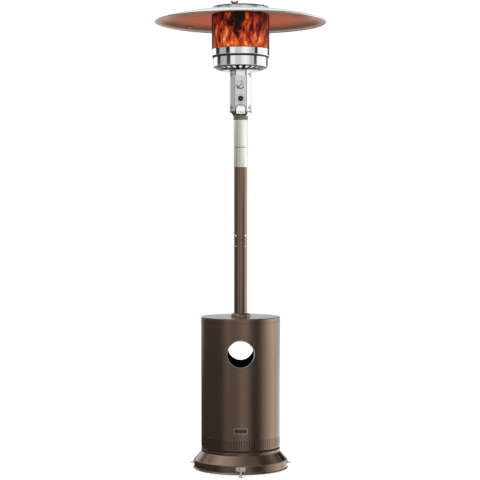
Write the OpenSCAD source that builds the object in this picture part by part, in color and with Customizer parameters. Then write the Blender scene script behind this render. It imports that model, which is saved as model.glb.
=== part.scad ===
// Free-standing gas patio heater: flared base, tank housing, tube post, burner head and reflector.
// Millimetres. +Z up, ground at z = 0, origin on the post's axis. The controls face -Y.

/* [Base] */
// Outer radius of the base's bottom edge
base_r = 225.5; // [223.5:0.5:227]
// Radius of the upright band above the bottom edge
band_r = 221.3; // [219:0.1:222]
// Height of the base's bottom edge above the ground
base_gap = 11; // [10:0.5:13]
// Height of the deck that the gas cylinder stands on
deck_z = 111; // [108:1:112]
// Travel of each levelling foot
foot_travel = 12; // [6:1:12]
// Radius of a rear wheel
wheel_r = 30; // [26:1:31]

/* [Tank housing] */
// Outer radius of the tank housing
housing_r = 187.3; // [184:0.1:188]
// Height of the tank housing from its bottom edge to its lid
housing_h = 614; // [594:5:654]
// Radius of the round hand hole, front and rear
hand_hole_r = 62.5; // [50:0.5:70]
// Height of the hand holes' centre above the housing's bottom edge
hand_hole_rise = 450; // [400:1:480]

/* [Post] */
// Radius of the painted post tubes
post_r = 31; // [30:0.5:32]
// Radius of the bright upper tubes
head_tube_r = 32.8; // [32.5:0.1:34]
// Height of the joint between the two painted tubes
post_joint_z = 1083; // [1000:1:1150]
// Height at which the painted tubes end
painted_top_z = 1429; // [1380:1:1440]
// Height of the joint between the two bright tubes
bright_joint_z = 1522; // [1480:1:1560]

/* [Controls] */
// Height of the bottom of the control box
box_z = 1691; // [1685:1:1692]
// Width of the control box across its flats
box_w = 105; // [100:1:108]
// Width of the control box's flat front
box_front_w = 53; // [50:1:56]
// Radius of the control knob
knob_r = 19; // [16:0.5:22]
// Radius of the igniter button
button_r = 11; // [8:0.5:12]

/* [Burner head] */
// Height of the bottom of the slotted cone
cone_z = 1882; // [1880:1:1884]
// Radius of the lower shroud ring
lower_ring_r = 128.8; // [126:0.1:130]
// Radius of the upper shroud ring and of the screen
screen_r = 136; // [134:0.5:140]
// Height at which the screen ends
screen_top_z = 2146; // [2130:1:2150]
// Number of slots round the vent cone
cone_slots = 24; // [18:1:30]

/* [Reflector] */
// Outer radius of the reflector's sheet
reflector_r = 404; // [395:1:410]
// Height of the reflector's rim
rim_z = 2111; // [2108:1:2114]
// Rise of the reflector's centre above its rim
dish_rise = 60; // [56:1:64]
// Radius of the raised top cap
cap_r = 130; // [122:1:134]

/* [Hidden] */
$fn = 96;
clearance = 0.3;
running_fit = 0.05;
bronze = "#54453a";
bright_steel = "#c9cacb";
dark_steel = "#55575a";
brass = "#b5923c";
black = "#1c1c1d";

// Base
pan_t = 2;
band_bottom_z = base_gap + 18;
band_top_z = 53;
neck_r = housing_r + 0.2;
neck_z = 91;
fill_x = 118;
fill_y = -62;
fill_r = 24;
foot_ring_r = 232.5;
foot_rod_r = 5.5;
tab_z = 31.5;
tab_t = 3.5;
flange_w_angle = 11.4;
flange_h = 17;
flange_t = 2.5;
foot_angles = [-90, 90];
bracket_angles = [-90, 0, 90, 180];
glide_r = 14;
glide_ring_r = 150;
reservoir_z = 20;
reservoir_top_z = deck_z - 14;
fill_neck_h = 8;
wheel_screw_angles = [79, 101];
base_screw_angles = concat([for (a = bracket_angles, s = [-4, 4]) a + s], wheel_screw_angles);
base_screw_z = tab_z + 8;
base_screw_r = 1.9;
wheel_y = 258;
wheel_z = wheel_r + 3;
wheel_w = 20;
axle_r = 5;
cheek_x = 50;
cheek_t = 3;
strap_z = 51;

// Tank housing
housing_z = deck_z + 0.2;
hem = 5;
housing_t = 1.2;
lid_h = 22;
lid_top_z = housing_z + housing_h;
lid_seam_z = lid_top_z - lid_h;
hand_hole_z = housing_z + hand_hole_rise;
lid_hole_r = 38;
plate_w = 64;
plate_h = 25;
plate_z = housing_z + 96;

// Legs and post
leg_ring_r = 168;
leg_r = 8;
leg_angles = [0, 120, 240];
leg_bolt_r = 4;
post_screw_angles = [45, 135, 225, 315];
upper_screw_z = post_joint_z + 24;
lower_screw_z = post_joint_z - 26;
upper_screw_r = 2;
lower_screw_r = 1.8;
bracket_z = lid_top_z - 28;
bracket_t = 4;
post_t = 1.5;
post_bottom_z = bracket_z + bracket_t;
spigot_r = post_r - post_t - 0.2;
head_tube_top_z = box_z + 6;
feed_r = 5;

// Controls
box_t = 1.2;
box_h = cone_z - box_z;
panel_y = -box_w / 2;
knob_z = box_z + 123;
button_z = box_z + 59;
valve_y = -12;
spindle_r = 4;
plug_r = 8;
push_travel = 4;
press_travel = 6;
pivot_x = 33;
pivot_y = 23;
pivot_z = box_z + 50;
box_corner = (box_w + box_front_w) / 4;
box_screw_zs = [box_z + 16, box_z + box_h - 17];
box_screw_r = 1.8;
panel_screw_x = 22;
panel_screw_z = box_z + box_h - 6;
panel_screw_r = 1.6;
hood_w = 50;
hood_d = 8;
hood_bottom_z = box_z - 15;
hood_h = 45;

// Burner head
sheet_t = 1.2;
cone_bottom_r = 88;
cone_top_r = 126;
cone_top_z = cone_z + 17.5;
slot_w = 9;
slot_length = 26;
lower_top_z = cone_top_z + 46.5;
upper_bottom_z = lower_top_z + 3;
upper_top_z = upper_bottom_z + 35;
burner_r = 62;

// Reflector: a shallow dish inside a steeper edge band
band_w = 32;
band_rise = 12;
dish_r = reflector_r - band_w;
panel_inner_r = 60;
seam_angles = [-47, 73, 193];
stud_angles = [253, 13, 133];
stud_ring_r = 97;
stud_r = 4;
seam_screw_ring_r = 190;
seam_screw_r = 2;
cap_top_z = rim_z + 72;
wing_z = cap_top_z + 2;
wing_h = 15.5;

function on_ring(r, a) = [r * cos(a), r * sin(a), 0];
function dish_z(r) = rim_z + band_rise + (dish_rise - band_rise) * (1 - pow(r / dish_r, 2));
function steps(from, to, count) = [for (i = [0:count]) from + (to - from) * i / count];
function reversed(list) = [for (i = [len(list) - 1:-1:0]) list[i]];

// A straight tube, or a rod where the inner radius is 0
module tube(r, inner_r, z0, z1) {
    difference() {
        translate([0, 0, z0]) cylinder(r = r, h = z1 - z0);
        if (inner_r > 0) translate([0, 0, z0 - 1]) cylinder(r = inner_r, h = z1 - z0 + 2);
    }
}

// A rod along +Y from y0 to y1, at height z
module rod_y(r, y0, y1, z) {
    translate([0, y0, z]) rotate([-90, 0, 0]) cylinder(r = r, h = y1 - y0);
}

// A curved strip that wraps a cylinder, centred on an angle
module wrapped_strip(inner_r, t, z0, h, centre, sweep) {
    rotate([0, 0, centre - sweep / 2]) rotate_extrude(angle = sweep)
        translate([inner_r, z0]) square([t, h]);
}

// A bore along a radius, from the axis outwards, for a drill to cut a wall with
module radial_bore(angle, r0, length, z, r) {
    rotate([0, 0, angle]) translate([r0, 0, z]) rotate([0, 90, 0]) cylinder(r = r, h = length);
}

// A pan-head screw lying along +X with its head's underside at x = 0
module pan_screw(shank_r, head_r, head_h, length) {
    translate([-length, 0, 0]) rotate([0, 90, 0]) cylinder(r = shank_r, h = length);
    rotate([0, 90, 0]) cylinder(r = head_r, h = head_h);
}

// ---- Base ----

module base_pan() {
    outer = [
        [base_r, base_gap], [base_r - 1.4, base_gap + 5], [band_r + 0.6, band_bottom_z - 7],
        [band_r, band_bottom_z], [band_r, band_top_z - 1], [band_r - 1, band_top_z + 1],
        [neck_r + 1.2, neck_z], [neck_r, neck_z + 4], [neck_r, deck_z - 5], [neck_r - 2.5, deck_z - 4],
        [neck_r - 2.5, deck_z]
    ];
    inner = [for (p = outer) [p[0] - pan_t, min(p[1], deck_z - pan_t)]];
    color(bronze) difference() {
        rotate_extrude() polygon(concat([[0, deck_z - pan_t]], reversed(inner), outer, [[0, deck_z]]));
        translate([fill_x, fill_y, 0]) cylinder(r = fill_r + 6, h = deck_z + 10);
        for (a = leg_angles) translate(on_ring(leg_ring_r, a)) translate([0, 0, deck_z - 10])
            cylinder(r = leg_bolt_r + 0.2, h = 20);
        for (a = base_screw_angles) radial_bore(a, band_r - 6, 20, base_screw_z, base_screw_r + 0.1);
    }
}

module water_reservoir() {
    tank_r = band_r - 12;
    core_r = 40;
    wall = 4;
    color(black) difference() {
        union() {
            rotate_extrude() polygon([
                [core_r, reservoir_z], [tank_r - 6, reservoir_z], [tank_r, reservoir_z + 6],
                [tank_r, band_top_z - 6], [neck_r - 14, reservoir_top_z], [core_r, reservoir_top_z]
            ]);
            translate([fill_x, fill_y, reservoir_top_z]) cylinder(r = fill_r, h = fill_neck_h);
        }
        rotate_extrude() polygon([
            [core_r + wall, reservoir_z + wall], [tank_r - 8, reservoir_z + wall],
            [tank_r - wall, reservoir_z + 8], [tank_r - wall, band_top_z - 8],
            [neck_r - 18, reservoir_top_z - wall], [core_r + wall, reservoir_top_z - wall]
        ]);
        translate([fill_x, fill_y, reservoir_top_z - wall - 1]) cylinder(r = fill_r - 6, h = 20);
    }
}

module reservoir_cap() {
    top_z = reservoir_top_z + fill_neck_h;
    color(black) translate([fill_x, fill_y, 0]) {
        difference() {
            translate([0, 0, top_z + clearance]) cylinder(r = fill_r + 2, h = 10);
            for (a = [0:30:330])
                rotate([0, 0, a]) translate([fill_r + 3, 0, top_z]) cylinder(r = 2.2, h = 20);
        }
        translate([0, 0, top_z - 6]) cylinder(r = fill_r - 6 - running_fit, h = 7);
    }
}

module levelling_brackets() {
    color(bright_steel) for (a = bracket_angles) difference() {
        union() {
            wrapped_strip(band_r, flange_t, tab_z - 2, flange_h, a, flange_w_angle);
            rotate([0, 0, a]) intersection() {
                translate([band_r - 4, -13, tab_z]) cube([22, 26, tab_t]);
                tube(foot_ring_r + 8, band_r, tab_z - 1, tab_z + tab_t + 1);
            }
        }
        translate(on_ring(foot_ring_r, a)) cylinder(r = foot_rod_r + clearance, h = tab_z + tab_t + 9);
        for (b = base_screw_angles) radial_bore(b, band_r - 5, 20, base_screw_z, base_screw_r + 0.1);
    }
}

module base_fasteners() {
    color(bright_steel) {
        for (a = base_screw_angles) rotate([0, 0, a]) translate([band_r + flange_t + 0.1, 0, base_screw_z])
            pan_screw(base_screw_r, 3.6, 2, flange_t + pan_t + 3);
        for (a = foot_angles) translate(on_ring(foot_ring_r, a)) difference() {
            translate([0, 0, tab_z + tab_t]) cylinder(r = 8.5, h = 6, $fn = 6);
            cylinder(r = foot_rod_r + clearance, h = 60);
        }
    }
}

// A threaded rod on a flared pad that stands on the ground
module levelling_foot(a) {
    color(bright_steel) translate(on_ring(foot_ring_r, a)) rotate_extrude() polygon([
        [0, 0], [10.5, 0], [10.5, 2], [foot_rod_r + 1, 9], [foot_rod_r, 10],
        [foot_rod_r, tab_z + tab_t + foot_travel + 1], [foot_rod_r - 1, tab_z + tab_t + foot_travel + 2],
        [0, tab_z + tab_t + foot_travel + 2]
    ]);
}

module levelling_foot_front() { levelling_foot(foot_angles[0]); }
module levelling_foot_rear() { levelling_foot(foot_angles[1]); }

// Rubber feet under the reservoir, hidden by the base's edge
module floor_glides() {
    color(black) for (a = [45:90:315]) translate(on_ring(glide_ring_r, a)) rotate_extrude() polygon([
        [0, 0], [glide_r - 2, 0], [glide_r, 2], [glide_r, reservoir_z], [0, reservoir_z]
    ]);
}

module wheel_bracket() {
    root_y = band_r - 12;
    reach = wheel_y + 10 - root_y;
    color(bronze) difference() {
        union() {
            translate([-cheek_x - cheek_t, root_y, strap_z]) cube([2 * (cheek_x + cheek_t), reach, 2.5]);
            for (s = [-1, 1]) {
                translate([s > 0 ? cheek_x : -cheek_x - cheek_t, root_y, wheel_z - 10])
                    cube([cheek_t, reach, strap_z - wheel_z + 12]);
                wrapped_strip(band_r, flange_t, tab_z - 2, 20, 90 + s * 12, 6);
            }
        }
        translate([0, 0, -1]) cylinder(r = band_r, h = 90);
        translate([-cheek_x - 10, wheel_y, wheel_z]) rotate([0, 90, 0])
            cylinder(r = axle_r + 0.1, h = 2 * cheek_x + 20);
        for (a = wheel_screw_angles) radial_bore(a, band_r - 5, 20, base_screw_z, base_screw_r + 0.1);
    }
}

module wheel_axle() {
    half = cheek_x + cheek_t + wheel_w + 6;
    color(bright_steel) translate([0, wheel_y, wheel_z]) rotate([0, 90, 0]) {
        translate([0, 0, -half]) cylinder(r = axle_r, h = 2 * half);
        for (s = [-1, 1]) translate([0, 0, s > 0 ? half - 3 : -half]) cylinder(r = axle_r + 3, h = 3);
    }
}

// A wheel with a tyre tread, side dishes and an axle bore
module wheel(side) {
    x0 = cheek_x + cheek_t + 1.5;
    left_x = side > 0 ? x0 : -x0 - wheel_w;
    color(black) translate([left_x, wheel_y, wheel_z]) rotate([0, 90, 0]) difference() {
        rotate_extrude() polygon([
            [axle_r + running_fit, 0], [11, 0], [12, 4], [wheel_r - 8, 4], [wheel_r - 7, 1],
            [wheel_r - 3, 1], [wheel_r, 4], [wheel_r, wheel_w - 4], [wheel_r - 3, wheel_w - 1],
            [wheel_r - 7, wheel_w - 1], [wheel_r - 8, wheel_w - 4], [12, wheel_w - 4], [11, wheel_w],
            [axle_r + running_fit, wheel_w]
        ]);
        for (a = [0:60:300]) rotate([0, 0, a]) translate([16.5, 0, -1]) cylinder(r = 3, h = wheel_w + 2);
    }
}

module wheel_left() { wheel(-1); }
module wheel_right() { wheel(1); }

// ---- Legs and post ----

module support_legs() {
    color(dark_steel) for (a = leg_angles) translate(on_ring(leg_ring_r, a)) difference() {
        union() {
            tube(leg_r, leg_r - 1.5, deck_z, bracket_z);
            tube(13, leg_bolt_r + 0.2, deck_z, deck_z + 3);
            tube(leg_r, leg_bolt_r + 0.2, bracket_z - 4, bracket_z);
        }
        translate([0, 0, deck_z - 10]) cylinder(r = leg_bolt_r + 0.2, h = 30);
    }
}

module leg_bolts() {
    color(bright_steel) for (a = leg_angles) translate(on_ring(leg_ring_r, a)) {
        translate([0, 0, bracket_z - 14]) cylinder(r = leg_bolt_r, h = 14 + bracket_t);
        translate([0, 0, bracket_z + bracket_t]) cylinder(r = 7.5, h = 5, $fn = 6);
        translate([0, 0, deck_z - pan_t]) cylinder(r = leg_bolt_r, h = 14);
        translate([0, 0, deck_z + 3]) cylinder(r = 6, h = 5, $fn = 6);
    }
}

module post_bracket() {
    arm_w = 20;
    color(dark_steel) difference() {
        union() {
            translate([0, 0, bracket_z]) cylinder(r = 58, h = bracket_t);
            for (a = leg_angles) {
                rotate([0, 0, a]) translate([0, -arm_w / 2, bracket_z]) cube([leg_ring_r, arm_w, bracket_t]);
                translate(on_ring(leg_ring_r, a)) translate([0, 0, bracket_z])
                    cylinder(r = 12, h = bracket_t);
            }
            tube(spigot_r, spigot_r - 3, bracket_z, bracket_z + 62);
        }
        for (a = leg_angles) translate(on_ring(leg_ring_r, a)) translate([0, 0, bracket_z - 1])
            cylinder(r = leg_bolt_r + 0.2, h = 9);
        translate([0, 0, bracket_z - 1]) cylinder(r = 12, h = 9);
    }
}

module post_lower() {
    color(bronze) difference() {
        tube(post_r, post_r - post_t, post_bottom_z, post_joint_z);
        for (a = post_screw_angles) radial_bore(a, 20, 20, lower_screw_z, lower_screw_r + 0.1);
    }
}

// A painted tube on a spigot that plugs into the tube below
module post_middle() {
    color(bronze) difference() {
        union() {
            tube(post_r, post_r - post_t, post_joint_z + 1, painted_top_z);
            tube(post_r - post_t - 0.1, post_r - post_t - 1.8, post_joint_z - 60, post_joint_z + 1.5);
        }
        for (a = post_screw_angles) {
            radial_bore(a, 20, 20, upper_screw_z, upper_screw_r + 0.1);
            radial_bore(a, 20, 20, lower_screw_z, lower_screw_r + 0.1);
        }
    }
}

module post_screws() {
    color(bright_steel) for (a = post_screw_angles) rotate([0, 0, a]) {
        translate([post_r, 0, upper_screw_z]) pan_screw(upper_screw_r, 4, 2.2, post_t + 4);
        translate([post_r, 0, lower_screw_z]) pan_screw(lower_screw_r, 2.4, 0.6, post_t + 4);
    }
}

module head_tube_lower() {
    color(bright_steel) {
        tube(head_tube_r, head_tube_r - 1.5, painted_top_z, bright_joint_z);
        tube(post_r - post_t - 0.1, post_r - post_t - 1.8, painted_top_z - 50, painted_top_z + 3);
        tube(head_tube_r - 1, post_r - post_t - 1.8, painted_top_z, painted_top_z + 3);
    }
}

module head_tube_upper() {
    color(bright_steel) {
        tube(head_tube_r, head_tube_r - 1.5, bright_joint_z + 0.8, head_tube_top_z);
        tube(head_tube_r - 1.6, head_tube_r - 3, bright_joint_z - 45, bright_joint_z + 2);
        tube(head_tube_r - 1, head_tube_r - 3, bright_joint_z + 0.8, bright_joint_z + 3);
    }
}

module gas_inlet_fitting() {
    color(brass) {
        tube(8, 3, bracket_z - 34, bracket_z - 12);
        difference() {
            translate([0, 0, bracket_z - 12]) cylinder(r = 14, h = 12, $fn = 6);
            translate([0, 0, bracket_z - 13]) cylinder(r = 3, h = 16);
        }
        tube(10, 3, bracket_z, bracket_z + 10);
    }
}

module gas_feed_tube() {
    color(bright_steel) tube(feed_r, feed_r - 1, bracket_z + 10, knob_z - 30);
}

// ---- Tank housing ----

module tank_housing() {
    color(bronze) difference() {
        union() {
            tube(housing_r, housing_r - housing_t, housing_z, lid_seam_z);
            tube(housing_r, housing_r - hem, housing_z, housing_z + housing_t);
        }
        rod_y(hand_hole_r, -housing_r - 5, housing_r + 5, hand_hole_z);
    }
}

module housing_lid() {
    edge = 4;
    lip_w = 9.5;
    lip_h = 14;
    edge_arc = [for (a = steps(0, 90, 6))
        [housing_r - edge + edge * cos(a), lid_top_z - edge + edge * sin(a)]];
    inner_arc = [for (a = steps(90, 0, 6))
        [housing_r - edge + (edge - housing_t) * cos(a),
         lid_top_z - edge + (edge - housing_t) * sin(a)]];
    color(bronze) {
        rotate_extrude() polygon(concat(
            [[housing_r - housing_t, lid_seam_z + 0.8], [housing_r, lid_seam_z + 0.8]], edge_arc,
            [[lid_hole_r, lid_top_z], [lid_hole_r, lid_top_z - housing_t]], inner_arc
        ));
        tube(housing_r - housing_t - 0.1, housing_r - housing_t - 1.3, lid_seam_z - 14, lid_seam_z + 8);
        tube(housing_r - 1, housing_r - housing_t - 1.3, lid_seam_z + 0.8, lid_seam_z + 2);
        rotate_extrude() translate([lid_hole_r, lid_top_z]) polygon([
            [0, -housing_t], [lip_w, -housing_t], [lip_w, 0.4], [lip_w - 0.3, lip_h - 8],
            [lip_w - 2, lip_h - 4], [lip_w - 5, lip_h - 1], [1.5, lip_h], [0, lip_h - 1]
        ]);
    }
}

// Edge trims that line the two hand holes and follow the curved wall
module hand_hole_trims() {
    lip = 1.6;
    face = 4.2;
    color(bright_steel) for (side = [0, 180]) rotate([0, 0, side]) {
        intersection() {
            tube(housing_r + 1.2, housing_r + 0.05, hand_hole_z - 80, hand_hole_z + 80);
            difference() {
                rod_y(hand_hole_r + face - lip, -housing_r - 5, 0, hand_hole_z);
                rod_y(hand_hole_r - lip, -housing_r - 6, 1, hand_hole_z);
            }
        }
        intersection() {
            tube(housing_r + 0.6, housing_r - 2.4, hand_hole_z - 80, hand_hole_z + 80);
            difference() {
                rod_y(hand_hole_r - 0.1, -housing_r - 5, 0, hand_hole_z);
                rod_y(hand_hole_r - lip, -housing_r - 6, 1, hand_hole_z);
            }
        }
    }
}

module nameplate() {
    corner = 4;
    color(black) intersection() {
        tube(housing_r + 1, housing_r + 0.05, plate_z - plate_h, plate_z + plate_h);
        translate([0, -housing_r + 20, plate_z]) rotate([90, 0, 0]) linear_extrude(40) {
            square([plate_w - 2 * corner, plate_h], center = true);
            square([plate_w, plate_h - 2 * corner], center = true);
            for (x = [-1, 1], y = [-1, 1])
                translate([x * (plate_w / 2 - corner), y * (plate_h / 2 - corner)]) circle(r = corner);
        }
    }
}

// ---- Controls ----

// The control box's outline: a square whose corners are cut off
module box_outline(inset) {
    h = box_w / 2 - inset;
    c = box_front_w / 2 - inset * 0.414;
    polygon([[h, -c], [h, c], [c, h], [-c, h], [-h, c], [-h, -c], [-c, -h], [c, -h]]);
}

module taper_collar() {
    neck_bottom_z = box_z - 39;
    neck_top_z = box_z - 21;
    color(bright_steel) rotate_extrude() polygon([
        [head_tube_r + 0.1, neck_bottom_z], [head_tube_r + 1.5, neck_bottom_z],
        [head_tube_r + 1.5, neck_top_z], [46, box_z - 3], [46, box_z], [44.5, box_z],
        [44.5, box_z - 2.5], [head_tube_r + 0.1, neck_top_z + 2]
    ]);
}

module control_box() {
    front_cut = box_front_w - 0.6;
    color(bright_steel) difference() {
        translate([0, 0, box_z]) linear_extrude(box_h) box_outline(0);
        translate([0, 0, box_z + box_t]) linear_extrude(box_h) box_outline(box_t);
        translate([0, 0, box_z - 1]) cylinder(r = head_tube_r + 0.2, h = 9);
        translate([-front_cut / 2, panel_y - 1, box_z + box_t]) cube([front_cut, 3, box_h]);
        for (a = [45:90:315], z = box_screw_zs)
            radial_bore(a, norm([box_corner, box_corner]) - 10, 20, z, box_screw_r + 0.1);
    }
}

module front_panel() {
    w = box_front_w - 1;
    color(bright_steel) difference() {
        translate([-w / 2, panel_y, box_z + box_t + 0.3]) cube([w, box_t, box_h - box_t - 1]);
        rod_y(7, panel_y - 5, panel_y + 10, knob_z);
        rod_y(9.3, panel_y - 5, panel_y + 10, button_z);
        for (s = [-1, 1]) translate([s * panel_screw_x, 0, 0])
            rod_y(panel_screw_r + 0.1, panel_y - 5, panel_y + 10, panel_screw_z);
    }
}

module vent_hood() {
    arch_z = hood_bottom_z + hood_h - hood_w / 2;
    module arch(inset, depth) {
        rotate([90, 0, 0]) linear_extrude(depth) {
            translate([0, arch_z]) circle(r = hood_w / 2 - inset);
            translate([-hood_w / 2 + inset, hood_bottom_z - 1])
                square([hood_w - 2 * inset, arch_z - hood_bottom_z + 1]);
        }
    }
    color(bright_steel) difference() {
        translate([0, panel_y - 0.05, 0]) arch(0, hood_d);
        translate([0, panel_y + 1, 0]) arch(box_t, hood_d - box_t + 1);
        translate([-hood_w, -hood_w * 2, hood_bottom_z - 10]) cube([hood_w * 2, hood_w * 2, 10]);
        for (x = [-11, 0, 11]) translate([x, 0, 0]) rod_y(2.6, panel_y - 20, panel_y, hood_bottom_z + 10);
    }
}

module box_screws() {
    color(bright_steel) {
        for (a = [45:90:315], z = box_screw_zs) rotate([0, 0, a])
            translate([norm([box_corner, box_corner]), 0, z]) pan_screw(box_screw_r, 3.4, 1.8, 4);
        for (s = [-1, 1]) translate([s * panel_screw_x, panel_y, panel_screw_z]) rotate([0, 0, -90])
            pan_screw(panel_screw_r, 3, 1.5, 4);
    }
}

module gas_valve() {
    color(brass) difference() {
        union() {
            translate([-17, valve_y - 16, knob_z - 20]) cube([34, 34, 42]);
            rod_y(11, valve_y - 24, valve_y, knob_z);
            translate([0, 0, knob_z - 30]) cylinder(r = 8, h = 12, $fn = 6);
            translate([0, 0, knob_z + 20]) cylinder(r = 7, h = 10, $fn = 6);
        }
        rod_y(plug_r + running_fit, valve_y - 25, valve_y + 6, knob_z);
        translate([0, 0, knob_z - 32]) cylinder(r = 3, h = 14);
    }
}

// The plug turns inside the valve and carries the spindle in its own bore
module valve_plug() {
    color(bright_steel) difference() {
        rod_y(plug_r, valve_y - 22, valve_y + 4, knob_z);
        rod_y(spindle_r + running_fit, valve_y - 23, valve_y + 1, knob_z);
    }
}

module valve_spindle() {
    color(bright_steel) rod_y(spindle_r, panel_y - 14, valve_y - push_travel - 2, knob_z);
}

module control_knob() {
    back_y = panel_y - push_travel - 1.5;
    grip_w = 9;
    color(bright_steel) difference() {
        union() {
            translate([0, back_y, knob_z]) rotate([90, 0, 0]) rotate_extrude() polygon([
                [0, 0], [knob_r, 0], [knob_r, 6], [knob_r - 1.5, 8], [0, 8]
            ]);
            intersection() {
                rod_y(knob_r - 2, back_y - 20, back_y - 7, knob_z);
                translate([0, 0, knob_z]) rotate([0, 45, 0])
                    translate([-grip_w / 2, back_y - 20, -knob_r]) cube([grip_w, 14, 2 * knob_r]);
            }
        }
        rod_y(spindle_r, panel_y - 14, 0, knob_z);
    }
}

module igniter_body() {
    color(black) difference() {
        union() {
            rod_y(9, panel_y - 1, panel_y + 44, button_z);
            rod_y(13.5, panel_y - 3, panel_y - 0.1, button_z);
            rod_y(13, panel_y + box_t + 0.1, panel_y + 5, button_z);
        }
        rod_y(5 + running_fit, panel_y - 4, panel_y + 34, button_z);
    }
}

module igniter_button() {
    color(black) {
        translate([0, panel_y - 3.3 - press_travel, button_z]) rotate([90, 0, 0]) rotate_extrude() polygon([
            [0, 0], [button_r, 0], [button_r, 4], [button_r - 1.2, 5.5], [0, 6.5]
        ]);
        rod_y(5, panel_y - 4 - press_travel, panel_y + 27, button_z);
    }
}

module tilt_switch_case() {
    color(black) difference() {
        translate([pivot_x - 11, pivot_y - 9, pivot_z - 26]) cube([22, 18, 34]);
        translate([pivot_x - 9, pivot_y - 7, pivot_z - 24]) cube([18, 14, 34]);
        translate([pivot_x, pivot_y, pivot_z]) rod_y(2 + running_fit, -13, 17, 0);
    }
}

// A weight that hangs from a pin and cuts the gas when the heater tips
module tilt_pendulum() {
    color(brass) translate([pivot_x, pivot_y, pivot_z]) {
        rod_y(2, -9, 9, 0);
        rod_y(3.5, -3, 3, 0);
        translate([-1.2, -1, -12]) cube([2.4, 2, 12]);
        translate([0, 0, -18]) cylinder(r = 4, h = 8);
    }
}

// ---- Burner head ----

module main_gas_tube() {
    color(brass) {
        tube(3.5, 2.5, knob_z + 30, cone_z + 12);
        difference() {
            translate([0, 0, cone_z + 12]) cylinder(r = 7, h = 12, $fn = 6);
            translate([0, 0, cone_z + 11]) cylinder(r = 1, h = 20);
        }
    }
}

module venturi_tube() {
    color(bright_steel) rotate_extrude() polygon([
        [20, cone_z + 28], [21.5, cone_z + 28], [15.5, cone_z + 50], [15.5, upper_top_z - 12],
        [14, upper_top_z - 12], [14, cone_z + 50]
    ]);
}

module main_burner() {
    z0 = upper_top_z - 12;
    color(bright_steel) difference() {
        translate([0, 0, z0]) cylinder(r = burner_r, h = 22);
        translate([0, 0, z0 + 1.5]) cylinder(r = burner_r - 1.5, h = 19);
        translate([0, 0, z0 - 1]) cylinder(r = 14, h = 4);
        for (a = [0:15:345]) rotate([0, 0, a]) translate([50, 0, z0 + 18]) cylinder(r = 2, h = 6);
    }
}

module pilot_burner() {
    color(brass) translate([78, -20, 0]) {
        tube(4, 2.5, upper_top_z, upper_top_z + 26);
        tube(6.5, 4, upper_top_z + 14, upper_top_z + 24);
    }
}

module thermocouple() {
    color(bright_steel) translate([92, -14, upper_top_z]) {
        cylinder(r = 2.5, h = 24);
        translate([0, 0, 24]) cylinder(r = 1.6, h = 12);
    }
}

module ignition_electrode() {
    color("white") translate([90, -32, upper_top_z]) {
        cylinder(r = 3.2, h = 20);
        translate([0, 0, 20]) cylinder(r = 1.2, h = 12);
    }
}

module vent_cone() {
    slope = atan2(cone_top_z - cone_z, cone_top_r - cone_bottom_r);
    slot_share = 0.38;
    color(bright_steel) difference() {
        rotate_extrude() polygon([
            [50, cone_z], [cone_bottom_r, cone_z], [cone_bottom_r + 2, cone_z + 2],
            [cone_top_r, cone_top_z - 2], [cone_top_r, cone_top_z],
            [cone_top_r - 2, cone_top_z], [cone_bottom_r, cone_z + 2], [50, cone_z + 2]
        ]);
        for (i = [0:cone_slots - 1]) rotate([0, 0, i * 360 / cone_slots])
            translate([
                cone_bottom_r + (cone_top_r - cone_bottom_r) * slot_share, 0,
                cone_z + (cone_top_z - cone_z) * slot_share
            ]) rotate([0, -slope, 0]) cube([slot_length, slot_w, 12], center = true);
        for (a = [45:90:315]) translate(on_ring(66, a)) translate([0, 0, cone_z - 1])
            cylinder(r = 9, h = 5);
    }
}

module lower_shroud() {
    color(bright_steel) rotate_extrude() polygon([
        [cone_top_r - 2, cone_top_z + 0.2], [lower_ring_r - 1.5, cone_top_z + 0.2],
        [lower_ring_r, cone_top_z + 2], [lower_ring_r, lower_top_z - 2], [lower_ring_r - 1.5, lower_top_z],
        [lower_ring_r - 6, lower_top_z], [lower_ring_r - 6, lower_top_z - sheet_t],
        [lower_ring_r - sheet_t, lower_top_z - 3], [lower_ring_r - sheet_t, cone_top_z + 3],
        [cone_top_r - 2, cone_top_z + 1.6]
    ]);
}

module upper_shroud() {
    floor_z = upper_top_z - 3;
    color(bright_steel) difference() {
        rotate_extrude() polygon([
            [lower_ring_r - 8, lower_top_z + 0.2], [screen_r - 2, lower_top_z + 0.2],
            [screen_r, upper_bottom_z], [screen_r, upper_top_z - 1.5], [screen_r - 1.5, upper_top_z],
            [burner_r, upper_top_z], [burner_r, floor_z + 1.4], [screen_r - sheet_t - 1, floor_z + 1.4],
            [screen_r - sheet_t, floor_z], [screen_r - sheet_t, upper_bottom_z + 1],
            [screen_r - 3, lower_top_z + 1.6], [lower_ring_r - 8, lower_top_z + 1.6]
        ]);
        for (i = [0:cone_slots - 1]) rotate([0, 0, i * 360 / cone_slots + 6])
            translate([105, 0, upper_top_z - 2]) cube([16, 5, 12], center = true);
    }
}

module emitter_screen() {
    color("#8a3016") tube(screen_r - 0.3, screen_r - 1.8, upper_top_z + 0.1, screen_top_z);
}

module screen_cap() {
    color(dark_steel) difference() {
        rotate_extrude() polygon([
            [0, screen_top_z], [screen_r, screen_top_z], [screen_r, screen_top_z + 1],
            [screen_r - 2, screen_top_z + 2], [0, screen_top_z + 4]
        ]);
        for (a = stud_angles) translate(on_ring(stud_ring_r, a)) translate([0, 0, screen_top_z - 2])
            cylinder(r = stud_r, h = 10);
    }
}

// ---- Reflector ----

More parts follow.
